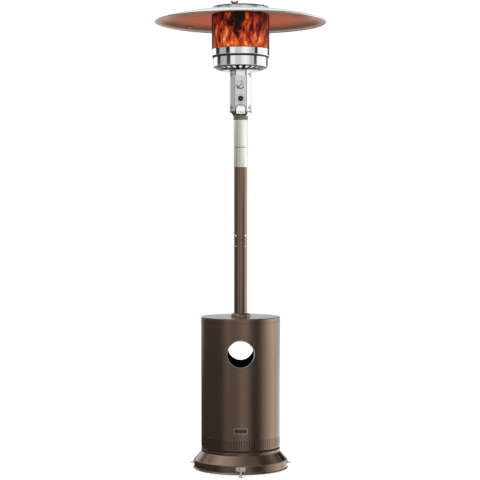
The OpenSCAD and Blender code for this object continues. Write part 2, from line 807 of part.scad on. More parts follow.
// One third of the dish, with a rolled rim and a hole for its stud
module reflector_panel(start) {
    t = sheet_t;
    rs = steps(panel_inner_r, dish_r, 10);
    under = [for (r = rs) [r, dish_z(r)]];
    over = [for (r = reversed(rs)) [r, dish_z(r) + t]];
    color("#b0b2b4") difference() {
        rotate([0, 0, start + 0.06]) rotate_extrude(angle = 119.88) {
            polygon(concat(under, [[reflector_r, rim_z + 1], [reflector_r + 0.5, rim_z + 1 + t]], over));
            translate([reflector_r - 1, rim_z + 1.6]) circle(r = 2.2, $fn = 24);
        }
        for (a = stud_angles) translate(on_ring(stud_ring_r, a)) translate([0, 0, rim_z])
            cylinder(r = stud_r + 0.5, h = 90);
        for (a = seam_angles) translate(on_ring(seam_screw_ring_r, a)) translate([0, 0, rim_z])
            cylinder(r = seam_screw_r + 0.1, h = 90);
    }
}

module reflector_panel_1() { reflector_panel(seam_angles[0]); }
module reflector_panel_2() { reflector_panel(seam_angles[1]); }
module reflector_panel_3() { reflector_panel(seam_angles[2]); }

// Small hooks under each panel near the rim
module rim_clips() {
    r = reflector_r - 43;
    color(bright_steel) for (a = stud_angles) rotate([0, 0, a]) translate([r, 0, dish_z(r)]) {
        translate([-5, -4, -3]) cube([10, 8, 1.5]);
        translate([3.5, -4, -10]) cube([1.5, 8, 8.5]);
        translate([-2, 0, -2]) cylinder(r = 2, h = 2);
    }
}

module seam_screws() {
    z = dish_z(seam_screw_ring_r);
    color(bright_steel) for (a = seam_angles) translate(on_ring(seam_screw_ring_r, a)) {
        translate([0, 0, z + sheet_t + 0.6]) cylinder(r = 4.5, h = 3);
        translate([0, 0, z - 4]) cylinder(r = seam_screw_r, h = 4 + sheet_t + 0.6);
        translate([0, 0, z - 4]) cylinder(r = 3.8, h = 2.8, $fn = 6);
    }
}

module top_cap() {
    foot_z = dish_z(cap_r + 3) + sheet_t + 0.4;
    color("#b0b2b4") difference() {
        rotate_extrude() polygon([
            [0, cap_top_z - sheet_t], [cap_r - 3, cap_top_z - sheet_t], [cap_r + 1, foot_z],
            [cap_r + 3, foot_z], [cap_r, cap_top_z - 2], [cap_r - 2, cap_top_z], [0, cap_top_z]
        ]);
        for (a = stud_angles) translate(on_ring(stud_ring_r, a)) translate([0, 0, cap_top_z - 20])
            cylinder(r = stud_r + 0.5, h = 40);
    }
}

module reflector_studs() {
    panel_z = dish_z(stud_ring_r);
    color(bright_steel) for (a = stud_angles) translate(on_ring(stud_ring_r, a)) {
        translate([0, 0, screen_top_z]) cylinder(r = stud_r, h = wing_z + 11 - screen_top_z);
        tube(9, stud_r, screen_top_z + 3, panel_z - 0.5);
        tube(9, stud_r, panel_z + sheet_t + 0.5, cap_top_z - sheet_t);
    }
}

// A hub on a washer with two round-ended wings
module wing_nut() {
    lobe_r = 4.5;
    wing_t = 4;
    difference() {
        union() {
            translate([0, 0, -2]) cylinder(r = 11, h = 2);
            cylinder(r = 7, h = 8);
            for (s = [-1, 1]) {
                translate([s * 12.5, wing_t / 2, wing_h - lobe_r]) rotate([90, 0, 0])
                    cylinder(r = lobe_r, h = wing_t);
                rotate([90, 0, 0]) translate([0, 0, -wing_t / 2]) linear_extrude(wing_t)
                    polygon([
                        [s * 4, 1], [s * 8, 1], [s * 15, wing_h - 6], [s * 10, wing_h - 2], [s * 4, 7]
                    ]);
            }
        }
        translate([0, 0, -5]) cylinder(r = stud_r, h = 30);
    }
}

module wing_nuts() {
    color(bright_steel) for (a = stud_angles) translate(on_ring(stud_ring_r, a)) translate([0, 0, wing_z])
        wing_nut();
}

base_pan();
water_reservoir();
reservoir_cap();
levelling_brackets();
base_fasteners();
levelling_foot_front();
levelling_foot_rear();
floor_glides();
wheel_bracket();
wheel_axle();
wheel_left();
wheel_right();
support_legs();
leg_bolts();
post_bracket();
post_lower();
post_middle();
post_screws();
head_tube_lower();
head_tube_upper();
gas_inlet_fitting();
gas_feed_tube();
tank_housing();
housing_lid();
hand_hole_trims();
nameplate();
taper_collar();
control_box();
front_panel();
vent_hood();
box_screws();
gas_valve();
valve_plug();
valve_spindle();
control_knob();
igniter_body();
igniter_button();
tilt_switch_case();
tilt_pendulum();
main_gas_tube();
venturi_tube();
main_burner();
pilot_burner();
thermocouple();
ignition_electrode();
vent_cone();
lower_shroud();
upper_shroud();
emitter_screen();
screen_cap();
reflector_panel_1();
reflector_panel_2();
reflector_panel_3();
rim_clips();
seam_screws();
top_cap();
reflector_studs();
wing_nuts();
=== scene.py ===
"""A gas patio heater's looks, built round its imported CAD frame. Sizes in this script are millimetres."""
from math import copysign, cos, degrees, hypot, pi, radians, sin, sqrt, tan

import bmesh
import bpy
from mathutils import Matrix, Vector


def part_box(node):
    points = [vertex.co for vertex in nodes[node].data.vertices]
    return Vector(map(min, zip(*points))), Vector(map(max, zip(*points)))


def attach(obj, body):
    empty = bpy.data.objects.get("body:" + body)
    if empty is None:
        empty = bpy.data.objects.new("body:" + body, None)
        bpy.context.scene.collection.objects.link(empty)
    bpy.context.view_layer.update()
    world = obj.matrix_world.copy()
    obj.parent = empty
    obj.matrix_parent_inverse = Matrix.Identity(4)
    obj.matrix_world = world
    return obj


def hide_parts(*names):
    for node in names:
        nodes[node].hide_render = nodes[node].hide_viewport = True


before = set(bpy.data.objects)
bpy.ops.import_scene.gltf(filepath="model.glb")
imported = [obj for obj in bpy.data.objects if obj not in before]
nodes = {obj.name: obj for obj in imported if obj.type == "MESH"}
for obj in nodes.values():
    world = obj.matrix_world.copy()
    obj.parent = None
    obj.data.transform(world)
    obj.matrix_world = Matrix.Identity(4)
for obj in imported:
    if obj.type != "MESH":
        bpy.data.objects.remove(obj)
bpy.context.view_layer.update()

MM = 0.001
# The angle about the post that faces the controls
FRONT = -pi / 2
# Thickness of the painted and bright sheet
SHEET = 1.2


def span(node):
    """A CAD node's lowest and highest corners, in millimetres."""
    low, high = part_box(node)
    return low / MM, high / MM


def centre_z(node):
    """The height of a CAD node's middle."""
    low, high = span(node)
    return (low.z + high.z) / 2


# -------- mesh helpers

def add_object(name, points, faces, material, body, smooth_angle=32):
    """A mesh piece from points in millimetres, shaded smooth apart from its sharp edges."""
    mesh = bpy.data.meshes.new(name)
    mesh.from_pydata([Vector(p) * MM for p in points], [], faces)
    mesh.validate()
    piece = bpy.data.objects.new(name, mesh)
    bpy.context.scene.collection.objects.link(piece)
    for one in material if isinstance(material, list) else [material]:
        mesh.materials.append(one)
    clean = bmesh.new()
    clean.from_mesh(mesh)
    bmesh.ops.remove_doubles(clean, verts=clean.verts, dist=0.00002)
    bmesh.ops.recalc_face_normals(clean, faces=clean.faces)
    clean.to_mesh(mesh)
    clean.free()
    shade(mesh, smooth_angle)
    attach(piece, body)
    return piece


def shade(mesh, smooth_angle):
    """Smooth shading, with every edge above the angle kept sharp."""
    mesh.shade_smooth()
    mesh.set_sharp_from_angle(angle=radians(smooth_angle))


def skin(loops, closed=True, capped=True):
    """Points and faces of a surface through closed loops of points. An open row of loops can be capped."""
    size, count = len(loops[0]), len(loops)
    faces = []
    for i in range(count if closed else count - 1):
        j = (i + 1) % count
        faces += [(i * size + k, j * size + k, j * size + (k + 1) % size, i * size + (k + 1) % size)
                  for k in range(size)]
    if capped and not closed:
        faces += [tuple(reversed(range(size))), tuple(range((count - 1) * size, count * size))]
    return [point for loop in loops for point in loop], faces


def held(profile):
    """A closed profile with extra points 1 mm from the ends of its long sides, so that they shade flat."""
    line = []
    for i, (r, z) in enumerate(profile):
        line.append((r, z))
        next_r, next_z = profile[(i + 1) % len(profile)]
        size = hypot(next_r - r, next_z - z)
        if size > 5:
            line += [(r + (next_r - r) * t, z + (next_z - z) * t) for t in (1 / size, 1 - 1 / size)]
    return line


def lathe(name, profile, material, body, segments=192, start=0.0, sweep=360.0, centre=(0, 0, 0)):
    """Turns a closed profile of (radius, height) points about an upright axis."""
    whole = sweep >= 360
    cx, cy, cz = centre
    profile = held(profile)
    loops = []
    for i in range(segments if whole else segments + 1):
        a = radians(start + sweep * i / segments)
        loops.append([(cx + r * cos(a), cy + r * sin(a), cz + z) for r, z in profile])
    return add_object(name, *skin(loops, whole), material, body)


def lathe_level(name, profile, material, body, centre, segments=64, along_x=False):
    """Turns a closed profile of (radius, depth) points about an axis along Y, or along X."""
    cx, cy, cz = centre
    loops = []
    for i in range(segments):
        a = 2 * pi * i / segments
        if along_x:
            loops.append([(cx + d, cy + r * cos(a), cz + r * sin(a)) for r, d in profile])
        else:
            loops.append([(cx + r * cos(a), cy + d, cz + r * sin(a)) for r, d in profile])
    return add_object(name, *skin(loops), material, body)


def band(r, z0, z1, wall):
    """The profile of a plain tube."""
    return [(r, z0), (r, z1), (r - wall, z1), (r - wall, z0)]


def round_wall(r, z, phase=0.0):
    """A place(u, v) that wraps a sheet on an upright cylinder from height z."""
    def place(u, v):
        a = u / r + phase + FRONT
        return (r * cos(a), r * sin(a), z + v)
    return place


def arc(cx, cz, r, a0, a1, count=6):
    """Points of a round corner in a profile."""
    angles = [radians(a0 + (a1 - a0) * i / count) for i in range(count + 1)]
    return [(cx + r * cos(a), cz + r * sin(a)) for a in angles]


def mirror(profile):
    """The (radius, depth) points of a profile's image on the other side of depth 0, in reverse."""
    return [(r, -d) for r, d in reversed(profile)]


def apply_modifiers(piece):
    """Turns a piece's modifiers into mesh."""
    graph = bpy.context.evaluated_depsgraph_get()
    mesh = bpy.data.meshes.new_from_object(piece.evaluated_get(graph))
    piece.modifiers.clear()
    piece.data = mesh


def thicken(piece, thickness):
    """Gives a sheet its thickness, inwards."""
    sheet = piece.modifiers.new("thickness", "SOLIDIFY")
    sheet.thickness = thickness * MM
    sheet.offset = -1


def bevel(piece, width):
    """Rounds a piece's sharp edges."""
    modifier = piece.modifiers.new("rounded", "BEVEL")
    modifier.width = width * MM
    modifier.segments = 2
    modifier.limit_method = "ANGLE"
    modifier.angle_limit = radians(35)
    modifier.harden_normals = False


def cut(piece, cutter):
    """Cuts a piece with another, which is then removed."""
    modifier = piece.modifiers.new("cut", "BOOLEAN")
    modifier.operation = "DIFFERENCE"
    modifier.solver = "EXACT"
    modifier.object = cutter
    apply_modifiers(piece)
    bpy.data.objects.remove(cutter)


def perforated(name, columns, rows, pitch_u, pitch_v, hole_u, hole_v, place, material, body, thickness,
               corners=16, stagger=True):
    """A sheet of staggered holes that closes on itself. place(u, v) puts a flat point on the surface."""
    points, faces = [], []
    edge = [(-1, -1), (0, -1), (1, -1), (1, 0), (1, 1), (0, 1), (-1, 1), (-1, 0)]

    def add(u, v):
        points.append(place(u, v))
        return len(points) - 1

    def cell(cu, cv):
        rim = [add(cu + du * pitch_u / 2, cv + dv * pitch_v / 2) for du, dv in edge]
        turns = [radians(-135 + i * 360 / corners) for i in range(corners)]
        hole = [add(cu + hole_u * cos(a), cv + hole_v * sin(a)) for a in turns]
        for i in range(8):
            j = (i + 1) % 8
            if corners == 8:
                faces.append((rim[i], rim[j], hole[j], hole[i]))
            else:
                h0, h1, h2 = hole[2 * i], hole[2 * i + 1], hole[(2 * i + 2) % 16]
                faces.extend([(rim[i], h1, h0), (rim[i], rim[j], h1), (rim[j], h2, h1)])

    for c in range(columns):
        shift = pitch_v / 2 if stagger and c % 2 else 0.0
        cu = (c + 0.5) * pitch_u
        for k in range(rows - (1 if shift else 0)):
            cell(cu, (k + 0.5) * pitch_v + shift)
        if shift:
            for v0, v1 in ((0, shift), (rows * pitch_v - shift, rows * pitch_v)):
                strip = ((-1, v0), (0, v0), (1, v0), (1, v1), (0, v1), (-1, v1))
                faces.append(tuple(add(cu + side * pitch_u / 2, v) for side, v in strip))
    piece = add_object(name, points, faces, material, body)
    thicken(piece, thickness)
    return piece


def join(pieces, name):
    """Joins mesh pieces that ride on one body into the first of them."""
    keep = pieces[0]
    with bpy.context.temp_override(active_object=keep, object=keep, selected_objects=pieces,
                                   selected_editable_objects=pieces):
        bpy.ops.object.join()
    keep.name = name
    return keep


def rod_mesh(r, y0, y1, z, count, x=0.0):
    """Points and faces of a rod along Y."""
    turns = [2 * pi * i / count for i in range(count)]
    return skin([[(x + r * cos(a), y, z + r * sin(a)) for a in turns] for y in (y0, y1)], False)


def layered(name, layers, place, material, body, smooth_angle=32):
    """A closed solid through (outline, depth) layers, whose outlines have equal numbers of points."""
    loops = [[place(u, v, depth) for u, v in outline] for outline, depth in layers]
    return add_object(name, *skin(loops, False), material, body, smooth_angle)


def rounded_box(x0, x1, z0, z1, radius):
    """The outline of a rectangle with round corners; radius may be (bottom, top)."""
    low, high = radius if isinstance(radius, tuple) else (radius, radius)
    line = []
    for cx, cz, r, a in ((x1, z1, high, 0), (x0, z1, high, 90), (x0, z0, low, 180), (x1, z0, low, 270)):
        x = cx - copysign(r, cx - (x0 + x1) / 2)
        z = cz - copysign(r, cz - (z0 + z1) / 2)
        line += arc(x, z, r, a, a + 90, 5)
    return line


def corner_line(points, radii, count=6):
    """An outline through points whose corners are rounded by the radii given (0 keeps a point)."""
    hold = 0.8
    line = []
    for i, (point, radius) in enumerate(zip(points, radii)):
        here = Vector(point)
        if not radius:
            line.append(tuple(here))
            continue
        before = (Vector(points[i - 1]) - here).normalized()
        after = (Vector(points[(i + 1) % len(points)]) - here).normalized()
        half = before.angle(after) / 2
        reach = radius / tan(half)
        centre = here + (before + after).normalized() * radius / sin(half)
        first = here + before * reach - centre
        swing = pi - 2 * half
        side = 1 if before.x * after.y - before.y * after.x < 0 else -1
        line.append(tuple(here + before * (reach + hold)))
        for k in range(count + 1):
            a = side * swing * k / count
            line.append((centre.x + first.x * cos(a) - first.y * sin(a),
                         centre.y + first.x * sin(a) + first.y * cos(a)))
        line.append(tuple(here + after * (reach + hold)))
    return line


# -------- node helpers

def add_node(tree, kind, inputs=None, **settings):
    """A shader node. Each input is a value, or a socket to link from."""
    node = tree.nodes.new("ShaderNode" + kind)
    for key, value in settings.items():
        setattr(node, key, value)
    for key, value in (inputs or {}).items():
        if isinstance(value, bpy.types.NodeSocket):
            tree.links.new(value, node.inputs[key])
        else:
            node.inputs[key].default_value = value
    return node


def new_material(name, colour, metallic, roughness):
    """A Principled material, its node tree, its shader and its object coordinates."""
    material = bpy.data.materials.new(name)
    material.use_nodes = True
    tree = material.node_tree
    shader = tree.nodes["Principled BSDF"]
    shader.inputs["Base Color"].default_value = (*colour, 1)
    shader.inputs["Metallic"].default_value = metallic
    shader.inputs["Roughness"].default_value = roughness
    return material, tree, shader, add_node(tree, "TexCoord").outputs["Object"]


def noise(tree, vector, scale, detail, rough, stretch=(1, 1, 1)):
    """A noise texture on stretched coordinates."""
    mapping = add_node(tree, "Mapping", {"Vector": vector, "Scale": stretch})
    inputs = {"Vector": mapping.outputs["Vector"], "Scale": scale, "Detail": detail, "Roughness": rough}
    return add_node(tree, "TexNoise", inputs).outputs["Fac"]


def ramp(tree, value, stops):
    """A colour ramp whose stops are (position, colour)."""
    node = add_node(tree, "ValToRGB", {"Fac": value})
    elements = node.color_ramp.elements
    while len(elements) < len(stops):
        elements.new(0.5)
    for element, (position, colour) in zip(elements, stops):
        element.position = position
        element.color = (*colour, 1)
    return node.outputs["Color"]


def rescale(tree, value, low, high, start=0.0, end=1.0):
    """Maps start..end to low..high."""
    inputs = {"Value": value, "From Min": start, "From Max": end, "To Min": low, "To Max": high}
    return add_node(tree, "MapRange", inputs).outputs["Result"]


def math_node(tree, operation, first, second):
    """The result of a sum on two values."""
    return add_node(tree, "Math", {0: first, 1: second}, operation=operation).outputs["Value"]


def length_of(tree, vector):
    """A vector's length."""
    return add_node(tree, "VectorMath", {0: vector}, operation="LENGTH").outputs["Value"]


def mix(tree, factor, first, second):
    """Blends two colours."""
    inputs = {"Factor": factor, "A": first, "B": second}
    return add_node(tree, "Mix", inputs, data_type="RGBA").outputs["Result"]


def bump(tree, shader, height, strength, distance):
    """Adds a bump to the shader's normal."""
    node = add_node(tree, "Bump", {"Height": height, "Strength": strength, "Distance": distance})
    tree.links.new(node.outputs["Normal"], shader.inputs["Normal"])


# -------- materials

def paint(name, colour, light, roughness):
    """Metallic powder coat: fine flake, faint mottling and a slight orange peel under a clear coat."""
    material, tree, shader, spot = new_material(name, colour, 0.96, roughness)
    flake = ramp(tree, noise(tree, spot, 900, 2, 0.6), [(0.30, colour), (0.60, colour), (0.82, light)])
    tree.links.new(flake, shader.inputs["Base Color"])
    mottle = rescale(tree, noise(tree, spot, 9, 5, 0.6), roughness - 0.04, roughness + 0.05)
    tree.links.new(mottle, shader.inputs["Roughness"])
    bump(tree, shader, noise(tree, spot, 380, 3, 0.55), 0.05, 0.0004)
    shader.inputs["Coat Weight"].default_value = 0.25
    shader.inputs["Coat Roughness"].default_value = 0.12
    return material


def steel(name, colour, roughness, grain=(1, 1, 60), contrast=0.05, bump_strength=0.05, metallic=1.0):
    """Polished or brushed steel: fine lines along one direction, with slight stains."""
    material, tree, shader, spot = new_material(name, colour, metallic, roughness)
    lines = noise(tree, spot, 26, 5, 0.65, grain)
    dark = tuple(c * (1 - 2 * contrast) for c in colour)
    tree.links.new(ramp(tree, lines, [(0.30, dark), (0.70, colour)]), shader.inputs["Base Color"])
    tree.links.new(rescale(tree, lines, roughness * 0.75, roughness * 1.3), shader.inputs["Roughness"])
    bump(tree, shader, lines, bump_strength, 0.0004)
    return material


def plastic(name, colour, roughness, grain_scale=700, strength=0.2):
    """Moulded plastic or rubber with a fine grain."""
    material, tree, shader, spot = new_material(name, colour, 0.0, roughness)
    grain = noise(tree, spot, grain_scale, 3, 0.6)
    lighter = tuple(min(1, c * 1.35 + 0.004) for c in colour)
    tree.links.new(ramp(tree, grain, [(0.35, colour), (0.75, lighter)]), shader.inputs["Base Color"])
    tree.links.new(rescale(tree, grain, roughness - 0.06, roughness + 0.08), shader.inputs["Roughness"])
    bump(tree, shader, grain, strength, 0.0004)
    return material


def copper_underside():
    """The dish's underside: polished sheet that the burner has warmed to copper, greyer at the rim. Its front
    and rear halves differ by painted shade: the rear is painted darker towards the rim, under a painted
    highlight on the rim's edge.
    """
    material, tree, shader, spot = new_material("dish_underside", (0.36, 0.115, 0.045), 0.45, 0.32)
    flat = add_node(tree, "VectorMath", {0: spot, 1: (1, 1, 0)}, operation="MULTIPLY")
    reach = rescale(tree, length_of(tree, flat.outputs["Vector"]), 0, 1, 0.10, 0.405)
    front = ramp(tree, reach, [
        (0.46, (0.17, 0.042, 0.008)), (0.53, (0.135, 0.040, 0.010)), (0.61, (0.15, 0.060, 0.027)),
        (0.70, (0.24, 0.125, 0.082)), (0.79, (0.38, 0.26, 0.20)), (0.87, (0.40, 0.29, 0.25)),
        (0.98, (0.44, 0.37, 0.33))])
    # The rear's dark band near the rim is painted shade, and its pale last stop is a painted highlight on the
    # rim's edge.
    rear = ramp(tree, reach, [
        (0.55, (0.40, 0.085, 0.010)), (0.62, (0.40, 0.10, 0.020)), (0.70, (0.34, 0.085, 0.014)),
        (0.80, (0.19, 0.062, 0.020)), (0.87, (0.08, 0.036, 0.020)), (0.93, (0.14, 0.09, 0.07)),
        (0.97, (0.45, 0.34, 0.29))])
    # Blending front into rear along Y paints the shade that falls on the dish's far half; the fade outward
    # from the burner is heat tint.
    split = add_node(tree, "SeparateXYZ", {"Vector": spot})
    depth = rescale(tree, split.outputs["Y"], 0, 1, -0.02, 0.12)
    tree.links.new(mix(tree, depth, front, rear), shader.inputs["Base Color"])
    shader.inputs["Specular Tint"].default_value = (0.55, 0.26, 0.14, 1)
    shader.inputs["Specular IOR Level"].default_value = 0.1
    tree.links.new(rescale(tree, noise(tree, spot, 7, 4, 0.6), 0.24, 0.34), shader.inputs["Roughness"])
    bump(tree, shader, noise(tree, spot, 60, 4, 0.6), 0.05, 0.0005)
    return material


def flames(low, high):
    """Tongues of fire that rise from low to high behind the screen, with a dark gap high at the front."""
    material, tree, shader, spot = new_material("flames", (0.02, 0.01, 0.01), 0.0, 0.9)
    warp = add_node(tree, "TexNoise", {"Vector": spot, "Scale": 22, "Detail": 2})
    pull = add_node(tree, "VectorMath", {0: warp.outputs["Color"], "Scale": 0.030}, operation="SCALE")
    bent = add_node(tree, "VectorMath", {0: spot, 1: pull.outputs["Vector"]})
    tongues = noise(tree, bent.outputs["Vector"], 46, 5, 0.6, (1, 1, 0.40))
    split = add_node(tree, "SeparateXYZ", {"Vector": spot})
    height = rescale(tree, split.outputs["Z"], 0.13, -0.04, low * MM, high * MM)
    gap_scale = (1.0, 0.35, 0.30)
    gap_place = (0.012, gap_scale[1] * 0.13, -gap_scale[2] * high * MM)
    gap = add_node(tree, "Mapping", {"Vector": spot, "Scale": gap_scale, "Location": gap_place})
    dark = rescale(tree, length_of(tree, gap.outputs["Vector"]), -0.24, 0.0, 0.016, 0.040)
    heat = math_node(tree, "ADD", tongues, math_node(tree, "ADD", height, dark))
    fire = ramp(tree, heat, [
        (0.39, (0.006, 0.003, 0.003)), (0.46, (0.10, 0.007, 0.004)), (0.53, (0.30, 0.022, 0.008)),
        (0.60, (0.58, 0.062, 0.014)), (0.68, (0.88, 0.19, 0.035)), (0.77, (1.0, 0.50, 0.18))])
    tree.links.new(fire, shader.inputs["Emission Color"])
    shader.inputs["Emission Strength"].default_value = 2.0
    return material


screen_low, screen_high = span("emitter_screen")
BRONZE = paint("bronze_paint", (0.225, 0.150, 0.108), (0.32, 0.225, 0.17), 0.13)
RING_STEEL = steel("polished_stainless", (0.90, 0.90, 0.90), 0.05, contrast=0.02, bump_strength=0.01)
POST_STEEL = steel("post_stainless", (0.84, 0.83, 0.81), 0.10)
BOX_STEEL = steel("box_stainless", (0.90, 0.90, 0.90), 0.20, grain=(60, 60, 1), contrast=0.03)
DARK_STEEL = steel("dark_steel", (0.10, 0.10, 0.105), 0.35)
INNER_STEEL = steel("inner_steel", (0.30, 0.30, 0.31), 0.42)
SCREEN_STEEL = steel("screen_steel", (0.055, 0.034, 0.03), 0.45, contrast=0.1)
# Near-black steel for the vent cone, whose dark look is painted shade.
CONE_STEEL = steel("cone_steel", (0.07, 0.07, 0.07), 0.2)
ZINC = steel("zinc", (0.82, 0.83, 0.84), 0.24, grain=(1, 1, 8))
NICKEL = steel("nickel", (0.93, 0.93, 0.93), 0.2, grain=(4, 4, 4), metallic=0.4)
CHROME = steel("chrome", (0.88, 0.88, 0.89), 0.10, grain=(1, 1, 1), contrast=0.02)
DISH_TOP = steel("dish_top", (0.74, 0.75, 0.76), 0.22, grain=(6, 6, 1))
RIM_STEEL = steel("rim_steel", (0.96, 0.84, 0.77), 0.16, grain=(6, 6, 1))
# Near-black steel for the cap's rolled edge: a painted dark reflection.
CAP_EDGE = steel("cap_edge", (0.16, 0.16, 0.16), 0.25)
# Near-black steel for the recess under the housing and the seam under the lid: painted shade.
GAP_SHADE = steel("gap_painted_shade", (0.05, 0.036, 0.028), 0.2, grain=(4, 4, 4))
BRASS = steel("brass", (0.62, 0.44, 0.19), 0.28, grain=(3, 3, 3))
EDGE_SILVER = steel("plate_edge", (0.62, 0.62, 0.60), 0.3, grain=(4, 4, 4))
TRIM = steel("trim", (0.50, 0.49, 0.47), 0.2, grain=(4, 4, 4))
# Near-black rough finish for the deck and the skirt inside the housing: painted shade where little light gets
# in.
INSIDE_SHADE = plastic("inside_painted_shade", (0.016, 0.012, 0.010), 0.7, 300, 0.3)
PLASTIC = plastic("black_plastic", (0.018, 0.018, 0.019), 0.42)
GLOSS = plastic("gloss_black", (0.012, 0.012, 0.013), 0.2, strength=0.03)
# Near black for pieces put in gaps, behind holes and under the box, where shade falls: painted shade.
SHADOW_BLACK = plastic("painted_shadow_black", (0.008, 0.008, 0.008), 0.6)
RUBBER = plastic("wheel_rubber", (0.022, 0.022, 0.022), 0.75, 300, 0.4)
CERAMIC = plastic("ceramic", (0.86, 0.85, 0.82), 0.45, 200, 0.05)
RED = plastic("red_mark", (0.62, 0.02, 0.06), 0.4)
UNDERSIDE = copper_underside()
FLAMES = flames(screen_low.z, screen_high.z)


def dress(material, *names):
    """Gives carried-over CAD nodes a material."""
    for name in names:
        mesh = nodes[name].data
        mesh.materials.clear()
        mesh.materials.append(material)
        shade(mesh, 30)


def stands_for(piece, slot, *names):
    """Hides the CAD nodes that a piece replaces; the piece and the slot are not used."""
    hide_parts(*names)


def sort_faces(piece, slot_of):
    """Gives each face the material slot for its distance from the post's axis and its normal."""
    for polygon in piece.data.polygons:
        away = hypot(polygon.center.x, polygon.center.y) / MM
        polygon.material_index = slot_of(away, polygon.normal)


# -------- base

def make_base():
    """The base pan: deck in painted shade, glossy neck, recess in painted shade, cone, upright band and
    rolled bottom lip.
    """
    low, high = span("base_pan")
    r, bottom, deck = high.x, low.z, high.z
    outer = [(0, deck), (r - 51, deck), (r - 50.5, deck - 0.5), (r - 50, deck - 5.4), (r - 40.4, deck - 5.6)]
    outer += arc(r - 40.0, deck - 7.6, 2.2, 80, -20)
    outer += [(r - 38.2, deck - 9.6), (r - 38.2, deck - 15.5), (r - 39.4, deck - 17), (r - 39.4, deck - 20)]
    outer += [(r - 37.0, deck - 22.6), (r - 8.5, deck - 57.6)]
    outer += arc(r - 7.6, deck - 60.6, 3.4, 60, 0, 4) + [(r - 4.2, bottom + 12)]
    outer += arc(r - 1.2, bottom + 9, 3.0, 180, 225, 3) + [(r - 1.2, bottom + 5)]
    outer += arc(r - 2.2, bottom + 2.2, 2.2, 45, -90) + [(r - 4.5, bottom)]
    inner = [(r - 5.0, bottom + 1.5), (r - 5.0, bottom + 16), (r - 6.2, bottom + 19), (r - 6.2, deck - 60),
             (r - 39.2, deck - 22), (r - 41.6, deck - 19), (r - 41.6, deck - 8), (r - 52.4, deck - 7),
             (r - 52.6, deck - 2), (0, deck - 2)]
    # The deck's slot is near black as painted shade inside the housing.
    pan = lathe("base_pan_shell", outer + inner, [BRONZE, INSIDE_SHADE, GAP_SHADE], "stand", 256)
    # Faces in the recess under the housing's edge take slot 2, near black as painted shade.
    sort_faces(pan, lambda away, normal: 1 if away < r - 50.8 else 2 if away < r - 40.8 else 0)
    stands_for(pan, "bronze_paint", "base_pan")
    # A near-black sheet just inside the wall, behind the vent holes, as painted shade.
    skirt = band(r - 41.2, deck, deck + 56, SHEET)
    lathe("deck_skirt", skirt, INSIDE_SHADE, "stand")


make_base()


# -------- tank housing

wall_low, wall_high = span("tank_housing")
WALL_R = wall_high.x
trim_low, trim_high = span("hand_hole_trims")
HOLE_Z = centre_z("hand_hole_trims")
HOLE_R = (trim_high.z - trim_low.z) / 2 - 2.6


def make_housing():
    """The housing's wall with its hand holes, its band of vent holes and its turned-in foot."""
    r, z0, z1 = WALL_R, wall_low.z, wall_high.z
    columns, rows, pitch_v, hole = 98, 5, 9.35, 2.95
    pitch_u = 2 * pi * r / columns
    phase = 11.1 / r
    vents_z = z0 + 7.4
    top = vents_z + rows * pitch_v
    vents = perforated("housing_vents", columns, rows, pitch_u, pitch_v, hole, hole,
                       round_wall(r, vents_z, phase), BRONZE, "tank_housing", SHEET)
    levels, sides = 60, columns * 2
    turns = [i * pi * 2 / sides + FRONT + phase for i in range(sides)]
    loops = [[(r * cos(a), r * sin(a), top + (z1 - top) * i / levels) for a in turns]
             for i in range(levels + 1)]
    wall = add_object("housing_wall", *skin(loops, False, False), BRONZE, "tank_housing")
    thicken(wall, SHEET)
    cut(wall, add_object("hand_hole_cutter", *rod_mesh(HOLE_R, -r - 20, r + 20, HOLE_Z, 96), BRONZE,
                         "tank_housing"))
    apply_modifiers(vents)
    edge = z0 + 1.8
    skirt = [(r, edge + 3)] + arc(r - 3, edge + 3, 3, 0, -90)
    skirt += [(r - 5, edge), (r - 5, edge + SHEET), (r - SHEET, edge + SHEET)]
    skirt += [(r - SHEET, vents_z), (r, vents_z)]
    foot = lathe("housing_foot", skirt, BRONZE, "tank_housing", sides, start=-90 + degrees(phase))
    shell = join([wall, vents, foot], "housing_shell")
    shade(shell.data, 40)
    stands_for(shell, "bronze_paint", "tank_housing")


def make_lid():
    """The lid: a soft edge over a narrow seam, darkened as painted shade by the spigot behind it, and a
    raised collar round the post.
    """
    high = span("housing_lid")[1]
    r, seam = high.x, wall_high.z + 0.8
    collar_h, edge = 14, 4.0
    hole, top = 38.0, high.z - collar_h
    outer = [(r - 1.2, seam + 0.5), (r - 0.6, seam), (r, seam + 0.6)]
    outer += arc(r - edge, top - edge, edge, 0, 90, 8)
    outer += [(hole + 10.2, top), (hole + 9.4, top + 0.8), (hole + 9.2, top + 6), (hole + 7.5, top + 10)]
    outer += [(hole + 4.5, top + 13), (hole + 1.5, top + collar_h), (hole, top + 13), (hole, top - SHEET)]
    outer += [(r - edge, top - SHEET)] + arc(r - edge, top - edge, edge - SHEET, 90, 0)
    stands_for(lathe("lid_shell", outer, BRONZE, "tank_housing", 256), "bronze_paint", "housing_lid")
    # The spigot is near black to paint the shade in the seam under the lid.
    spigot = band(r - 1.35, seam - 14, seam + 8, 1.05)
    lathe("lid_spigot", spigot, GAP_SHADE, "tank_housing")


def make_trims():
    """Rolled edge trims that follow the curved wall round each hand hole."""
    section = [(-2.0, -2.4), (-2.0, 0.6), (-1.5, 1.6), (-0.4, 2.0), (1.4, 1.8), (2.6, 1.0), (2.9, 0.1),
               (-0.2, 0.1), (-0.2, -2.4)]
    count = 120
    made = []
    for side in (-1, 1):
        loops = []
        for i in range(count):
            t = 2 * pi * i / count
            loop = []
            for out, lift in section:
                x = (HOLE_R + out) * cos(t)
                y = side * sqrt((WALL_R + lift) ** 2 - x * x)
                loop.append((x, y, HOLE_Z + (HOLE_R + out) * sin(t)))
            loops.append(loop)
        made.append(add_object(f"hand_hole_trim_{side + 1}", *skin(loops), TRIM, "tank_housing"))
    stands_for(join(made, "hand_hole_edges"), "chrome_trim", "hand_hole_trims")


